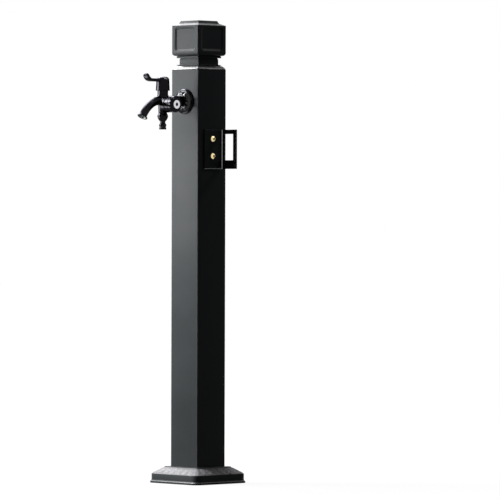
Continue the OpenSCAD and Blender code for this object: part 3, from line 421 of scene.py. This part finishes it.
def finial_levels():
    """(half width, height) up the finial below and above the block's flat sides."""
    below = [(38.0, COLUMN_TOP), (39.9, COLUMN_TOP)]
    for i in range(SKIRT_STEPS):
        t = i / SKIRT_STEPS
        below.append((FACE - SKIRT_IN * t ** 2, COLUMN_TOP + SKIRT_H * t))
    below += filleted([
        (33.2, 861.6), (31.2, 861.8), (31.2, 862.9), (33.0, 862.9), (33.0, 864.0, 0.3),
        (28.5, 864.4, 0.6), (28.5, 876.2, 0.4), (27.5, 876.2), (27.5, 878.0),
        (32.75, 878.0, 0.5), (32.75, 881.4, 0.4), (31.2, 882.5), (34.0, 882.5),
    ])
    for i in range(1, COVE_STEPS + 1):
        a = math.radians(90 * i / COVE_STEPS - 90)
        below.append((FACE - COVE_R + COVE_R * math.cos(a), BLOCK_LOW + COVE_R * math.sin(a)))
    above = filleted([
        (FACE, BLOCK_HIGH), (FACE, BLOCK_TOP, 0.5), (29.5, 949.5, 0.5), (26.75, 955.0, 0.6), (20.0, 955.0),
    ])
    return below, above


def level_ring(half, z):
    """The block's corners are rounder than those of the narrow mouldings."""
    radius = max(0.8, CORNER_R - 0.25 * (FACE - half))
    return square_ring(half, radius, z, corner=CORNER_STEPS)


def panel_loops():
    """Loops in a side's own plane, from its flat border down to the sunk floor."""
    path = filleted([(-0.8, 0.0), (0.0, 0.0, 0.8), (PANEL_SLOPE, PANEL_DEPTH, 1.0), (7.0, PANEL_DEPTH)])
    n = PANEL_STEPS
    border_w, border_h = FACE - CORNER_R, (BLOCK_HIGH - BLOCK_LOW) / 2
    border_z = (BLOCK_HIGH + BLOCK_LOW) / 2 - PANEL_Z
    corners = ((1, 1), (-1, 1), (-1, -1), (1, -1))
    outer = []
    for k, (sy, sz) in enumerate(corners):
        c = Vector((sy * (PANEL_W - PANEL_R), sz * (PANEL_H - PANEL_R)))
        corner = Vector((sy * border_w, border_z + sz * border_h))
        first = Vector((corner.x, c.y)) if k % 2 == 0 else Vector((c.x, corner.y))
        last = Vector((c.x, corner.y)) if k % 2 == 0 else Vector((corner.x, c.y))
        for i in range(n + 1):
            t = 2 * i / n
            p = first.lerp(corner, t) if t <= 1 else corner.lerp(last, t - 1)
            outer.append((p.x, p.y, 0.0))
    loops = [outer]
    for inset, depth in path:
        w, h = PANEL_W - inset, PANEL_H - inset
        r = max(PANEL_R - inset, 1.5)
        loop = []
        for k, (sy, sz) in enumerate(corners):
            for i in range(n + 1):
                a = math.radians(90 * (k + i / n))
                loop.append((sy * (w - r) + r * math.cos(a), sz * (h - r) + r * math.sin(a), depth))
        loops.append(loop)
    return loops


def finial():
    below, above = finial_levels()
    shells = [
        loft([level_ring(w, z) for w, z in below], (False, False)),
        loft([level_ring(w, z) for w, z in above], (False, True)),
    ]
    loops = panel_loops()
    corner = level_ring(FACE, 0.0)[:CORNER_STEPS + 1]
    tab = [(TAB_IN, -TAB_HALF), (TAB_OUT, -TAB_HALF), (TAB_OUT, TAB_HALF), (TAB_IN, TAB_HALF)]
    tabs = []
    for side in range(4):
        turn = Matrix.Rotation(math.pi / 2 * side, 3, "Z")
        rings = [[turn @ Vector((FACE - d, y, PANEL_Z + z)) for y, z, d in loop] for loop in loops]
        shells.append(loft(rings, (False, True)))
        strip = [turn @ Vector((p.x, p.y, z)) for z in (BLOCK_LOW, BLOCK_HIGH) for p in corner]
        step = len(corner)
        shells.append((strip, [(i, i + 1, i + step + 1, i + step) for i in range(CORNER_STEPS)]))
        tabs.append(loft([[turn @ Vector((x, y, z)) for x, y in tab] for z in (TAB_LOW, TAB_HIGH)]))
    piece = mesh_piece("finial_casting", *joined(shells + tabs), PAINT)

    def glossier(p, normal):
        on_skirt = p.z < COLUMN_TOP + SKIRT_H - 0.3 and normal.z > 0.2
        on_bevel = p.z > BLOCK_HIGH and normal.z > 0.8
        return on_skirt or on_bevel

    refinish(piece, MOULDING, glossier)
    settle(piece, "standpipe", "black_paint", "finial")


# The base cover: a lip, an upright side, a carved slope and a ledge round the column

COVER_HALF, COVER_R = 75.0, 18.0
SLOPE_LOW, SLOPE_HIGH = 19.3, 32.5
# The slope's plane: half its width and its corners' radius where it starts, how far it runs in, and its ends
SLOPE_FOOT, SLOPE_FOOT_R, SLOPE_TOP_R = 71.2, 14.3, 3.0
SLOPE_RUN, SLOPE_SHORT, SLOPE_RISEN = 22.5, 0.8, 0.3
SLOPE_TILT = math.atan2(SLOPE_RUN, SLOPE_HIGH - SLOPE_LOW)
SLOPE_ROWS = 22
SIDE_STEPS, ROUND_STEPS = 150, 12
LEAF_PITCH, LEAVES_A_SIDE = 18.0, 6
LEAF_FADE = 0.12
CARVED_LIFT = 0.32


def leaf_relief(u, v):
    """Height of the carving at u along a side and v up its slope: leaves, veins and curls."""
    fade = min(1.0, min(v, 1 - v) / LEAF_FADE)
    du = ((u / LEAF_PITCH) % 1.0 - 0.5) * LEAF_PITCH
    width = 6.4 * (math.sin(math.pi * min(1.0, 0.12 + 0.9 * v)) ** 0.8) * (1 + 0.16 * math.cos(34 * v))
    leaf = 0.0
    if width > 0.4 and abs(du) < width:
        t = abs(du) / width
        leaf = 0.80 * math.sqrt(1 - t * t) * (0.8 + 0.2 * math.cos(20 * v + 9 * t))
        leaf -= 0.40 * math.exp(-(du / 0.6) ** 2)
    curl = 0.0
    for s in (-1, 1):
        dx = du - s * LEAF_PITCH / 2
        dy = (v - 0.55) * 24.0
        dist = math.hypot(dx, dy)
        swirl = 3.4 + 0.55 * math.atan2(dy, s * dx)
        curl = max(curl, 0.65 * math.exp(-((dist - swirl) / 0.85) ** 2), 0.6 * math.exp(-(dist / 1.3) ** 2))
    return fade * max(leaf, curl)


def slope_lift(p):
    """How far a point stands out of the carved slope's own plane."""
    v = (p.z - SLOPE_LOW) / (SLOPE_HIGH - SLOPE_LOW)
    core = SLOPE_FOOT - SLOPE_FOOT_R - (SLOPE_RUN - SLOPE_SHORT - SLOPE_FOOT_R + SLOPE_TOP_R) * v
    reach = core + math.hypot(max(abs(p.x) - core, 0), max(abs(p.y) - core, 0))
    out, up = reach - SLOPE_FOOT, p.z - SLOPE_LOW - SLOPE_RISEN
    return out * math.cos(SLOPE_TILT) + up * math.sin(SLOPE_TILT)


def carved_ring(v):
    """The ring that lies v up the slope, with its points raised by the carving."""
    half = SLOPE_FOOT - (SLOPE_RUN - SLOPE_SHORT) * v
    radius = SLOPE_FOOT_R + (SLOPE_TOP_R - SLOPE_FOOT_R) * v
    z = SLOPE_LOW + SLOPE_RISEN + (SLOPE_HIGH - SLOPE_LOW - SLOPE_RISEN) * v
    ring = []
    for index, p in enumerate(square_ring(half, radius, z, ROUND_STEPS, SIDE_STEPS)):
        k, i = divmod(index, ROUND_STEPS + SIDE_STEPS)
        if i <= ROUND_STEPS:
            turn = i / ROUND_STEPS
            u = (turn - 0.5) * LEAF_PITCH * 0.98
        else:
            turn = 1
            u = ((i - ROUND_STEPS) / SIDE_STEPS * LEAVES_A_SIDE + 0.5) * LEAF_PITCH
        a = math.radians(90 * (k + turn))
        out = Vector((math.cos(a), math.sin(a), 0))
        normal = out * math.cos(SLOPE_TILT) + Vector((0, 0, math.sin(SLOPE_TILT)))
        ring.append(p + normal * leaf_relief(u + LEAF_PITCH / 2, v))
    return ring


def base_cover():
    rings = []
    for half, z in filleted([
        (69.0, 0.4), (69.0, 0.0), (COVER_HALF, 0.0, 0.5), (COVER_HALF, 3.5, 1.0), (72.6, 5.4, 0.8),
        (72.0, 7.0, 1.2), (72.0, SLOPE_LOW - 0.8),
    ]):
        rings.append(square_ring(half, COVER_R - (COVER_HALF - half), z, ROUND_STEPS, SIDE_STEPS))
    rings.append(square_ring(71.7, 14.8, SLOPE_LOW - 0.15, ROUND_STEPS, SIDE_STEPS))
    rings += [carved_ring(row / SLOPE_ROWS) for row in range(SLOPE_ROWS + 1)]
    for half, radius, z in (
        (49.3, 2.9, 32.9), (49.3, 2.9, 33.6), (48.9, 2.6, 34.0), (40.4, 2.9, 34.0), (40.4, 2.9, 30.0),
        (46.0, 3.0, 29.6), (69.0, 12.0, 17.8), (69.0, 12.0, 0.4),
    ):
        rings.append(square_ring(half, radius, z, ROUND_STEPS, SIDE_STEPS))
    piece = mesh_piece("base_casting", *loft(rings, (False, False)), PAINT, sharp=40)

    def on_slope(p, normal):
        return normal.z > 0.3 and SLOPE_LOW < p.z < SLOPE_HIGH + 0.2

    # The slope's ground and raised leaves take the pale paints: painted sheen and highlight.
    refinish(piece, GROUND_SHEEN, lambda p, normal: on_slope(p, normal) and slope_lift(p) <= CARVED_LIFT)
    refinish(piece, ORNAMENT_SHEEN, lambda p, normal: on_slope(p, normal) and slope_lift(p) > CARVED_LIFT)
    refinish(piece, MOULDING, lambda p, normal: not on_slope(p, normal) and normal.z > 0.75)
    settle(piece, "standpipe", "black_paint", "base_cover")


# The tap's casting and its escutcheon

def tap_body():
    barrel = filleted([
        (0.0, 4.5), (BARREL_R, 4.5, 6.0), (BARREL_R, 19.4, 0.3), (15.6, 19.8), (15.6, 20.8),
        (BARREL_R, 21.2, 0.3), (BARREL_R, 31.0, 0.2), (0.0, 31.0),
    ])
    boss = filleted([
        (0.0, 763.0), (8.9, 763.0, 0.4), (9.3, 779.0, 4.0), (12.0, 786.0, 3.0), (12.0, 797.45, 2.0),
        (11.2, 800.45, 0.5), (0.0, 800.45),
    ])
    saddle = filleted([
        (0.0, 788.0), (14.6, 788.0), (14.6, 792.5, 2.0), (11.9, 796.2, 3.0), (11.9, 798.0), (0.0, 798.0),
    ])
    inlet = [(0.0, 24.0), (10.4, 24.0), (10.4, 39.5), (10.7, 39.5), (10.7, 100.0), (0.0, 100.0)]
    stem = [(0.0, 754.1), (7.6, 754.1), (7.6, 763.5), (0.0, 763.5)]
    shells = [
        lathe(barrel, along_x), lathe(boss, upright), lathe(inlet, along_front), lathe(stem, upright),
        lathe(saddle, upright), loft([arch_ring(a, 9.0) for a in (0, 4, 8, 12, 16, SOCKET_A)]),
    ]
    piece = mesh_piece("tap_casting", *joined(shells), CHROME)
    melt(piece, 0.45, 3)
    for low, high in ((10.5, 19.0), (21.5, 30.7)):
        true_up(piece, along_x, lambda h: BARREL_R, low, high)
    settle(piece, "standpipe", "black_chrome", "tap_body")


# The leaves of the escutcheon lie between these radii, and no nearer to the column than this
LEAF_IN, LEAF_OUT, LEAF_FRONT = 13.6, 22.0, 44.5


def petal_relief(a, r):
    """Height of the carved leaves, eight round the escutcheon's dome."""
    t = (r - LEAF_IN) / (LEAF_OUT - LEAF_IN)
    if not 0 < t < 1:
        return 0.0
    leaf = abs(math.cos(4.0 * a))
    vein = math.exp(-(math.sin(4.0 * a) / 0.12) ** 2)
    frill = 0.16 * math.cos(20 * t) * (1 - leaf)
    return 1.3 * math.sin(math.pi * t) ** 0.6 * (leaf ** 1.6 - 0.35 * vein + frill)


def escutcheon():
    outline = filleted([
        (11.0, 40.0), (26.0, 40.0, 0.3), (26.0, 43.2, 1.4), (23.4, 44.2, 0.8), (22.2, 45.0, 0.8),
        (20.0, 47.4, 4.0), (14.8, 50.2, 3.0), (13.4, 50.4, 0.4), (13.4, 52.0, 0.7), (11.0, 52.0),
    ])
    profile = []
    for (r0, h0), (r1, h1) in zip(outline, outline[1:]):
        steps = max(1, round(math.hypot(r1 - r0, h1 - h0) / 0.45))
        profile += [(r0 + (r1 - r0) * i / steps, h0 + (h1 - h0) * i / steps) for i in range(steps)]
    profile += [outline[-1], outline[0]]
    rings = []
    for r, h in profile:
        ring = []
        for a in circle(192):
            lift = petal_relief(a, r) if h > LEAF_FRONT else 0
            ring.append(along_front(r * math.cos(a), r * math.sin(a), h + lift))
        rings.append(ring)
    piece = mesh_piece("escutcheon_casting", *loft(rings, (False, False)), CHROME, sharp=50)

    def on_leaves(p, normal):
        return -p.y > LEAF_FRONT and LEAF_IN < math.hypot(p.x, p.z - INLET_Z) < LEAF_OUT + 0.4

    # The leaves take the paler chrome, a painted sheen.
    refinish(piece, PETAL_SHEEN, on_leaves)
    settle(piece, "standpipe", "black_chrome", "escutcheon")


TUBE_R, TUBE_BORE_R = 8.2, 6.0
TUBE_STEPS, BORE_STEPS, BORE_STEP_A = 30, 12, 3.0


def spout():
    rings = []
    for i in range(TUBE_STEPS + 1):
        rings.append(arch_ring(SOCKET_A + (SPOUT_A - SOCKET_A) * i / TUBE_STEPS, TUBE_R))
    flare = filleted([
        (TUBE_R, 0.0), (8.7, 0.6, 2.0), (10.6, 2.5, 0.5), (10.8, 3.3, 0.3), (10.5, 4.0, 0.3),
        (6.9, 4.0, 0.3), (6.4, 3.4), (6.4, -1.0),
    ])
    for radius, out in flare[1:]:
        rings.append(arch_ring(SPOUT_A, radius, out))
    for i in range(BORE_STEPS):
        rings.append(arch_ring(SPOUT_A - 2 - BORE_STEP_A * i, TUBE_BORE_R))
    piece = mesh_piece("spout_tube", *loft(rings, (False, False)), SPOUT, sharp=38)

    def in_bore(p, normal):
        return math.hypot(p.x, math.hypot(p.y - VALVE_Y, p.z - ARCH_Z) - ARCH_R) < (TUBE_R + TUBE_BORE_R) / 2

    refinish(piece, BORE, in_bore)
    settle(piece, "standpipe", "black_chrome", "spout")


# The lever: a turned hub and a curled arm

ARM_FLAT, ARM_BEND_R, ARM_BEND, ARM_TIP = 33.5, 13.5, math.radians(75), 3.5
ARM_LEVEL = HUB_Z + 20.5
ARM_STEPS = 56
ARM_HALF_W, ARM_WIDENS, ARM_HALF_T, ARM_ROUND = 4.75, 3.45, 3.5, 7.5
HUB_FOOT, HUB_SHOULDER = HUB_Z - 1.2, HUB_TOP - 3.5
HUB_FOOT_R, HUB_SHOULDER_R = 14.5, 13.2
CAP_R, CAP_RISE = 9.4, 1.75


def arm_line(run):
    """A point of the arm's middle line: its reach from the hub's axis, height and slope."""
    bend = max(0.0, min(1.0, (run - ARM_FLAT) / (ARM_BEND_R * ARM_BEND))) * ARM_BEND
    tip = max(0.0, run - ARM_FLAT - ARM_BEND_R * ARM_BEND)
    reach = min(run, ARM_FLAT) + ARM_BEND_R * math.sin(bend) + tip * math.cos(bend)
    return reach, ARM_LEVEL + ARM_BEND_R * (1 - math.cos(bend)) + tip * math.sin(bend), bend


def lever_arm():
    """Rings of the arm from inside the hub to its tip; each is a flat oval."""
    total = ARM_FLAT + ARM_BEND_R * ARM_BEND + ARM_TIP
    rings = []
    for i in range(ARM_STEPS + 1):
        t = i / ARM_STEPS
        reach, z, slope = arm_line(t * total)
        grow = max(0.0, min(1.0, (t - 0.35) / 0.4))
        half_w = ARM_HALF_W + ARM_WIDENS * grow * grow * (3 - 2 * grow)
        tail = max(0.0, 1 - (1 - t) * total / ARM_ROUND)
        half_w *= max(0.10, 1 - tail ** 2.4) ** 0.5
        half_t = ARM_HALF_T * (1 - 0.27 * max(0.0, t - 0.8) / 0.2)
        if tail > 0.75:
            half_t *= math.sqrt(max(0.08, 1 - ((tail - 0.75) / 0.25) ** 2))
        ring = []
        for b in circle(40):
            c, q = math.cos(b), math.sin(b)
            x = half_w * math.copysign(abs(c) ** 0.6, c)
            up = half_t * math.copysign(abs(q) ** 0.5, q)
            ring.append((x, VALVE_Y - reach + up * math.sin(slope), z + up * math.cos(slope)))
        rings.append(ring)
    return loft(rings)


def lever():
    hub = filleted([
        (0.0, HUB_Z), (11.3, HUB_Z), (11.3, HUB_FOOT), (HUB_FOOT_R, HUB_FOOT, 0.8),
        (HUB_SHOULDER_R, HUB_SHOULDER, 2.2), (10.2, HUB_TOP, 0.8), (0.0, HUB_TOP),
    ])
    piece = mesh_piece("lever_casting", *joined([lathe(hub, upright), lever_arm()]), CHROME)
    melt(piece, 0.36, 2)

    def hub_radius(h):
        rise = (h - HUB_FOOT) / (HUB_SHOULDER - HUB_FOOT)
        return HUB_FOOT_R + (HUB_SHOULDER_R - HUB_FOOT_R) * rise

    def highlight_on_shoulder(p, normal):
        clear_of_arm = p.y > VALVE_Y - 5.5
        on_hub = p.z > HUB_SHOULDER - 0.3 and math.hypot(p.x, p.y - VALVE_Y) < HUB_SHOULDER_R + 0.4
        return normal.z > 0.35 and on_hub and clear_of_arm

    true_up(piece, upright, hub_radius, HUB_Z - 0.3, HUB_TOP - 5.2)
    # The hub's upward shoulder takes the pale plate, a painted highlight.
    refinish(piece, CAP_HIGHLIGHT, highlight_on_shoulder)
    settle(piece, "lever", "black_chrome", "lever_handle")
    dome = []
    for i in range(17):
        a = math.radians(90 * i / 16)
        dome.append((CAP_R * math.sin(a), HUB_TOP + 0.05 + CAP_RISE * math.cos(a)))
    dome += [(CAP_R, HUB_TOP - 1.1), (0.0, HUB_TOP - 1.1)]
    # The cap's dome is all pale plate, a painted highlight.
    cap = mesh_piece("lever_cap_dome", *lathe(dome, upright), CAP_HIGHLIGHT)
    settle(cap, "lever", "black_chrome", "lever_cap")


# The side knob and its button

KNOB_FOOT, KNOB_TOP = 31.25, 42.25
KNOB_HOLE_R, BUTTON_R = 8.95, 8.75
BUTTON_RING_IN, BUTTON_RING_W = 4.3, 4.4


def knob():
    outline = filleted([
        (5.0, KNOB_FOOT), (BARREL_R, KNOB_FOOT, 0.2), (BARREL_R, KNOB_TOP - 3.2, 0.8), (13.3, KNOB_TOP, 0.6),
        (KNOB_HOLE_R, KNOB_TOP, 0.2), (KNOB_HOLE_R, KNOB_TOP - 1.0), (0.0, KNOB_TOP - 1.0),
    ])
    piece = mesh_piece("knob_turning", *lathe(outline, along_x), CHROME)
    settle(piece, "knob", "black_chrome", "side_knob")
    dome = [(0.0, KNOB_TOP - 0.75), (2.6, KNOB_TOP - 0.7), (3.6, KNOB_TOP + 0.3), (4.0, KNOB_TOP + 0.85)]
    for i in range(13):
        t = i / 12
        dome.append((BUTTON_RING_IN + BUTTON_RING_W * t, KNOB_TOP + 0.95 * (1 - t ** 2)))
    dome += [(BUTTON_R, KNOB_TOP - 0.9), (0.0, KNOB_TOP - 0.9)]
    button = mesh_piece("knob_button_dome", *lathe(dome, along_x), MIRROR)
    refinish(button, CHROME, lambda p, normal: math.hypot(p.y - VALVE_Y, p.z - BARREL_Z) < 3.6)
    settle(button, "knob", "mirror_chrome", "knob_button")


# The hose outlet: coupling nut and nipple

NUT_LOW, NUT_WIDEST, NUT_TOP = 746.5, 756.5, 762.8
NUT_FOOT = NUT_LOW - 0.5
NUT_LOW_R, NUT_WIDE_R, NUT_TOP_R = 6.6, 11.1, 8.9
NIPPLE_FOOT = 729.0


def hose_outlet():
    nut = [(5.7, NUT_FOOT), (6.1, NUT_FOOT), (NUT_LOW_R, NUT_LOW)]
    for i in range(1, 17):
        t = i / 16
        bulge = math.sin(math.pi / 2 * t)
        nut.append((NUT_LOW_R + (NUT_WIDE_R - NUT_LOW_R) * bulge, NUT_LOW + (NUT_WIDEST - NUT_LOW) * t))
    for i in range(1, 13):
        t = i / 12
        bulge = (1 + math.cos(math.pi * t)) / 2
        nut.append((NUT_TOP_R + (NUT_WIDE_R - NUT_TOP_R) * bulge, NUT_WIDEST + (NUT_TOP - NUT_WIDEST) * t))
    nut += [(7.8, NUT_TOP), (7.7, NUT_TOP - 12.8), (5.7, NUT_TOP - 12.8)]
    piece = mesh_piece("nut_turning", *lathe(nut, upright), CHROME)
    settle(piece, "standpipe", "black_chrome", "coupling_nut")
    nipple = filleted([
        (3.5, 0.0), (7.35, 0.0, 0.6), (7.35, 3.6, 0.3), (5.95, 3.6), (5.95, 5.4), (6.6, 5.4, 0.3),
    ])
    for i in range(17):
        t = i / 16
        nipple.append((5.9 + 1.75 * math.sin(math.pi * (0.12 + 0.88 * t)), 5.5 + 7.3 * t))
    nipple += [(5.5, 13.1), (5.5, 21.0), (7.5, 21.0), (7.5, 23.0), (3.5, 23.0), (3.5, 0.0)]
    turned = [(r, NIPPLE_FOOT + h) for r, h in nipple]
    piece = mesh_piece("nipple_turning", *lathe(turned, upright), CHROME)
    settle(piece, "standpipe", "black_chrome", "hose_nipple")


# The hook: a bent sheet with a window, and its two screws

HOOK_LOW, HOOK_HIGH = 649.0, 730.0
WINDOW_LOW, WINDOW_HIGH = 667.0, 721.0
WINDOW_IN, WINDOW_OUT, HOOK_TIP = 49.0, 75.0, 84.5
HOOK_BACK, HOOK_FACE = -24.0, 29.0
HOOK_T, HOOK_BEND_R = 3.0, 2.0


def hook():
    """Drawn flat, along the sheet and up, then bent and given its thickness."""
    out_r = HOOK_BEND_R + HOOK_T
    middle = (HOOK_BEND_R + out_r) / 2
    bend_x, bend_y = FACE + out_r, HOOK_FACE - out_r
    path = [(FACE + HOOK_T / 2, y) for y in (HOOK_BACK, -8.0, 8.0)]
    for i in range(9):
        a = math.radians(180 - 90 * i / 8)
        path.append((bend_x + middle * math.cos(a), bend_y + middle * math.sin(a)))
    path += [(x, HOOK_FACE - HOOK_T / 2) for x in (WINDOW_IN, WINDOW_OUT, HOOK_TIP)]
    window = len(path) - 3
    verts = [(x, y, z) for x, y in path for z in (HOOK_LOW, WINDOW_LOW, WINDOW_HIGH, HOOK_HIGH)]
    faces = []
    for i in range(len(path) - 1):
        for j in range(3):
            if (i, j) != (window, 1):
                faces.append((4 * i + j, 4 * i + 4 + j, 4 * i + 5 + j, 4 * i + 1 + j))
    piece = mesh_piece("hook_sheet", verts, faces, PAINT)
    solid = piece.modifiers.new("thickness", "SOLIDIFY")
    solid.thickness = HOOK_T * MM
    solid.offset = 0
    solid.use_even_offset = True
    edge = piece.modifiers.new("edges", "BEVEL")
    edge.width = 0.55 * MM
    edge.segments = 3
    edge.limit_method = "ANGLE"
    edge.angle_limit = math.radians(50)
    apply_modifiers(piece)
    shade(piece.data, 40)

    # The inner bend and the lower edge take the paler metal, a painted highlight.
    def highlight_edges(p, normal):
        inside_bend = abs(math.hypot(p.x - bend_x, p.y - bend_y) - HOOK_BEND_R) < 0.25
        on_bend = inside_bend and p.x < bend_x - 0.7 and p.y > bend_y + 0.7
        under = p.z < HOOK_LOW + 0.5 and normal.x > 0.3 and p.x < bend_x
        return on_bend or under

    refinish(piece, EDGE_HIGHLIGHT_METAL, highlight_edges)
    settle(piece, "standpipe", "black_paint", "hook_bracket")


SCREW_ZS = (710.75, 675.25)
HEAD_R, HEAD_FACE, HEAD_EDGE, HEAD_RISE = 6.2, 43.0, 43.6, 3.0
SOCKET_R, SOCKET_MOUTH_R, SOCKET_FLOOR = 2.5, 2.75, 42.0


def hexagon_ring(size, place):
    """A ring on a hexagon that is a little larger than size from its middle to its sides."""
    ring = []
    for a in circle(48):
        off = (math.degrees(a) + 30) % 60 - 30
        r = size * math.cos(math.radians(30)) / math.cos(math.radians(off)) * 1.08
        ring.append(place(r * math.cos(a), r * math.sin(a)))
    return ring


def hook_screws():
    head = [
        (0.0, 28.0), (2.95, 28.0), (2.95, HEAD_FACE), (6.0, HEAD_FACE), (HEAD_R, 43.25), (HEAD_R, HEAD_EDGE),
    ]
    for i in range(1, 11):
        r = HEAD_R - (HEAD_R - SOCKET_MOUTH_R) * i / 10
        head.append((r, HEAD_EDGE + HEAD_RISE * (1 - (r / HEAD_R) ** 2) ** 0.8))
    brim = head[-1][1]
    shells = []
    for z in SCREW_ZS:
        rings = [[(h, r * math.cos(a), z + r * math.sin(a)) for a in circle(48)] for r, h in head]
        for size, h in ((SOCKET_R, brim - 0.05), (2.35, brim - 0.4), (2.3, SOCKET_FLOOR)):
            rings.append(hexagon_ring(size, lambda y, up: (h, y, z + up)))
        shells.append(loft(rings))
    piece = mesh_piece("hook_screw_turnings", *joined(shells), SCREW_BRASS, sharp=34)
    settle(piece, "standpipe", "screw_brass", "hook_screws")


column()
finial()
base_cover()
tap_body()
escutcheon()
spout()
lever()
knob()
hose_outlet()
hook()
hook_screws()


# The studio: a white floor and surroundings, and soft lamps

def seen_directly(tree):
    """One for rays from the camera, off gloss and through glass, else nought."""
    path = tree.nodes.new("ShaderNodeLightPath")
    total = path.outputs["Is Camera Ray"]
    for ray in ("Is Glossy Ray", "Is Transmission Ray"):
        add = tree.nodes.new("ShaderNodeMath")
        add.operation = "MAXIMUM"
        tree.links.new(total, add.inputs[0])
        tree.links.new(path.outputs[ray], add.inputs[1])
        total = add.outputs["Value"]
    return total


def white_world(ambient):
    """White where it is seen, and only ambient as a light."""
    world = bpy.data.worlds.new("white_studio")
    bpy.context.scene.world = world
    world.use_nodes = True
    tree = world.node_tree
    background = tree.nodes["Background"]
    background.inputs["Color"].default_value = (1, 1, 1, 1)
    level = tree.nodes.new("ShaderNodeMapRange")
    level.inputs["To Min"].default_value = ambient
    level.inputs["To Max"].default_value = 1.0
    tree.links.new(seen_directly(tree), level.inputs["Value"])
    tree.links.new(level.outputs["Result"], background.inputs["Strength"])


FLOOR_HALF = 20000
FLOOR_GREY = 0.03
GLOW_NEAR, GLOW_FAR = 0.92, 1.0
FADE_START, FADE_END = 0.3, 1.6


def white_floor():
    """Glows white where it is seen, a little less near the object, whose shadow its grey shows."""
    verts = [(x * FLOOR_HALF, y * FLOOR_HALF, 0) for x, y in ((-1, -1), (1, -1), (1, 1), (-1, 1))]
    material = bpy.data.materials.new("white_floor")
    material.use_nodes = True
    tree = material.node_tree
    tree.nodes.remove(tree.nodes["Principled BSDF"])
    diffuse = tree.nodes.new("ShaderNodeBsdfDiffuse")
    diffuse.inputs["Color"].default_value = (FLOOR_GREY, FLOOR_GREY, FLOOR_GREY, 1)
    glow = tree.nodes.new("ShaderNodeEmission")
    coords = tree.nodes.new("ShaderNodeTexCoord")
    length = tree.nodes.new("ShaderNodeVectorMath")
    length.operation = "LENGTH"
    tree.links.new(coords.outputs["Object"], length.inputs[0])
    fade = tree.nodes.new("ShaderNodeMapRange")
    fade.interpolation_type = "SMOOTHSTEP"
    fade.inputs["From Min"].default_value = FADE_START
    fade.inputs["From Max"].default_value = FADE_END
    fade.inputs["To Min"].default_value = GLOW_NEAR
    fade.inputs["To Max"].default_value = GLOW_FAR
    tree.links.new(length.outputs["Value"], fade.inputs["Value"])
    level = tree.nodes.new("ShaderNodeMath")
    level.operation = "MULTIPLY"
    tree.links.new(fade.outputs["Result"], level.inputs[0])
    tree.links.new(seen_directly(tree), level.inputs[1])
    tree.links.new(level.outputs["Value"], glow.inputs["Strength"])
    both = tree.nodes.new("ShaderNodeAddShader")
    tree.links.new(diffuse.outputs["BSDF"], both.inputs[0])
    tree.links.new(glow.outputs["Emission"], both.inputs[1])
    tree.links.new(both.outputs["Shader"], tree.nodes["Material Output"].inputs["Surface"])
    floor = mesh_piece("floor", verts, [(0, 1, 2, 3)], material)


def softbox(name, place, target, width, height, radiance, tint=(1, 1, 1)):
    """An area lamp of a size in metres; its power follows from how bright its face is."""
    data = bpy.data.lights.new(name, "AREA")
    data.shape = "RECTANGLE"
    data.size = width
    data.size_y = height
    data.color = tint
    data.energy = radiance * math.pi * width * height
    lamp = bpy.data.objects.new(name, data)
    bpy.context.scene.collection.objects.link(lamp)
    lamp.location = place
    lamp.rotation_euler = (Vector(target) - Vector(place)).to_track_quat("-Z", "Y").to_euler()
    lamp.visible_camera = False


CAMERA_AZIMUTH, CAMERA_ROLL = math.radians(46.5), math.radians(0.17)
CAMERA_AWAY, CAMERA_HEIGHT, CAMERA_LENS = 9.25, 0.55, 321.9
AIM_RIGHT, AIM_HEIGHT = 0.1068, 0.4817


def camera():
    """The photograph's view: from far away and about level, between the tap's side and the hook's."""
    toward = Vector((math.sin(CAMERA_AZIMUTH), -math.cos(CAMERA_AZIMUTH), 0))
    right = Vector((math.cos(CAMERA_AZIMUTH), math.sin(CAMERA_AZIMUTH), 0))
    data = bpy.data.cameras.new("camera")
    data.sensor_width = 36.0
    data.lens = CAMERA_LENS
    data.clip_end = 100.0
    eye = bpy.data.objects.new("camera", data)
    bpy.context.scene.collection.objects.link(eye)
    place = toward * CAMERA_AWAY + Vector((0, 0, CAMERA_HEIGHT))
    aim = right * AIM_RIGHT + Vector((0, 0, AIM_HEIGHT))
    turn = (aim - place).to_track_quat("-Z", "Y").to_matrix().to_4x4()
    eye.matrix_world = Matrix.Translation(place) @ turn @ Matrix.Rotation(CAMERA_ROLL, 4, "Z")
    bpy.context.scene.camera = eye


LAVENDER, ROSE = (0.98, 0.96, 1.04), (1.0, 0.95, 1.02)

white_world(ambient=0.01)
white_floor()
softbox("key_band", (-1.27, -1.37, 0.88), (0, -0.10, 0.80), 0.92, 0.34, 43.0)
softbox("key_high", (-1.50, -1.01, 1.74), (0, -0.10, 0.79), 0.66, 0.66, 80.0)
softbox("bank_left", (-1.42, -0.04, 2.50), (0, -0.04, 0.86), 1.00, 1.10, 30.0)
softbox("side_left", (-1.83, -0.43, 1.55), (0, -0.10, 0.80), 0.50, 0.50, 20.0)
softbox("bank_rear_high", (-1.72, 1.00, 2.05), (0, 0, 0.90), 1.30, 1.30, 2.9, ROSE)
softbox("bank_rear_low", (-1.90, 0.81, 1.55), (0, -0.07, 0.03), 1.30, 0.50, 5.0, ROSE)
softbox("ceiling", (-0.90, 0.00, 2.90), (0, 0, 0.60), 1.30, 0.90, 12.0, LAVENDER)
softbox("spark", (0.65, 0.12, 2.60), (0, -0.10, 0.80), 0.18, 0.18, 30.0)
softbox("rear_right", (0.86, 1.51, 2.23), (0.05, 0, 0.87), 0.50, 0.40, 12.0)
softbox("low_fill", (-0.35, -0.40, 0.58), (0, 0, 0.48), 0.26, 0.26, 17.0)
camera()

bpy.context.scene.view_settings.view_transform = "Standard"
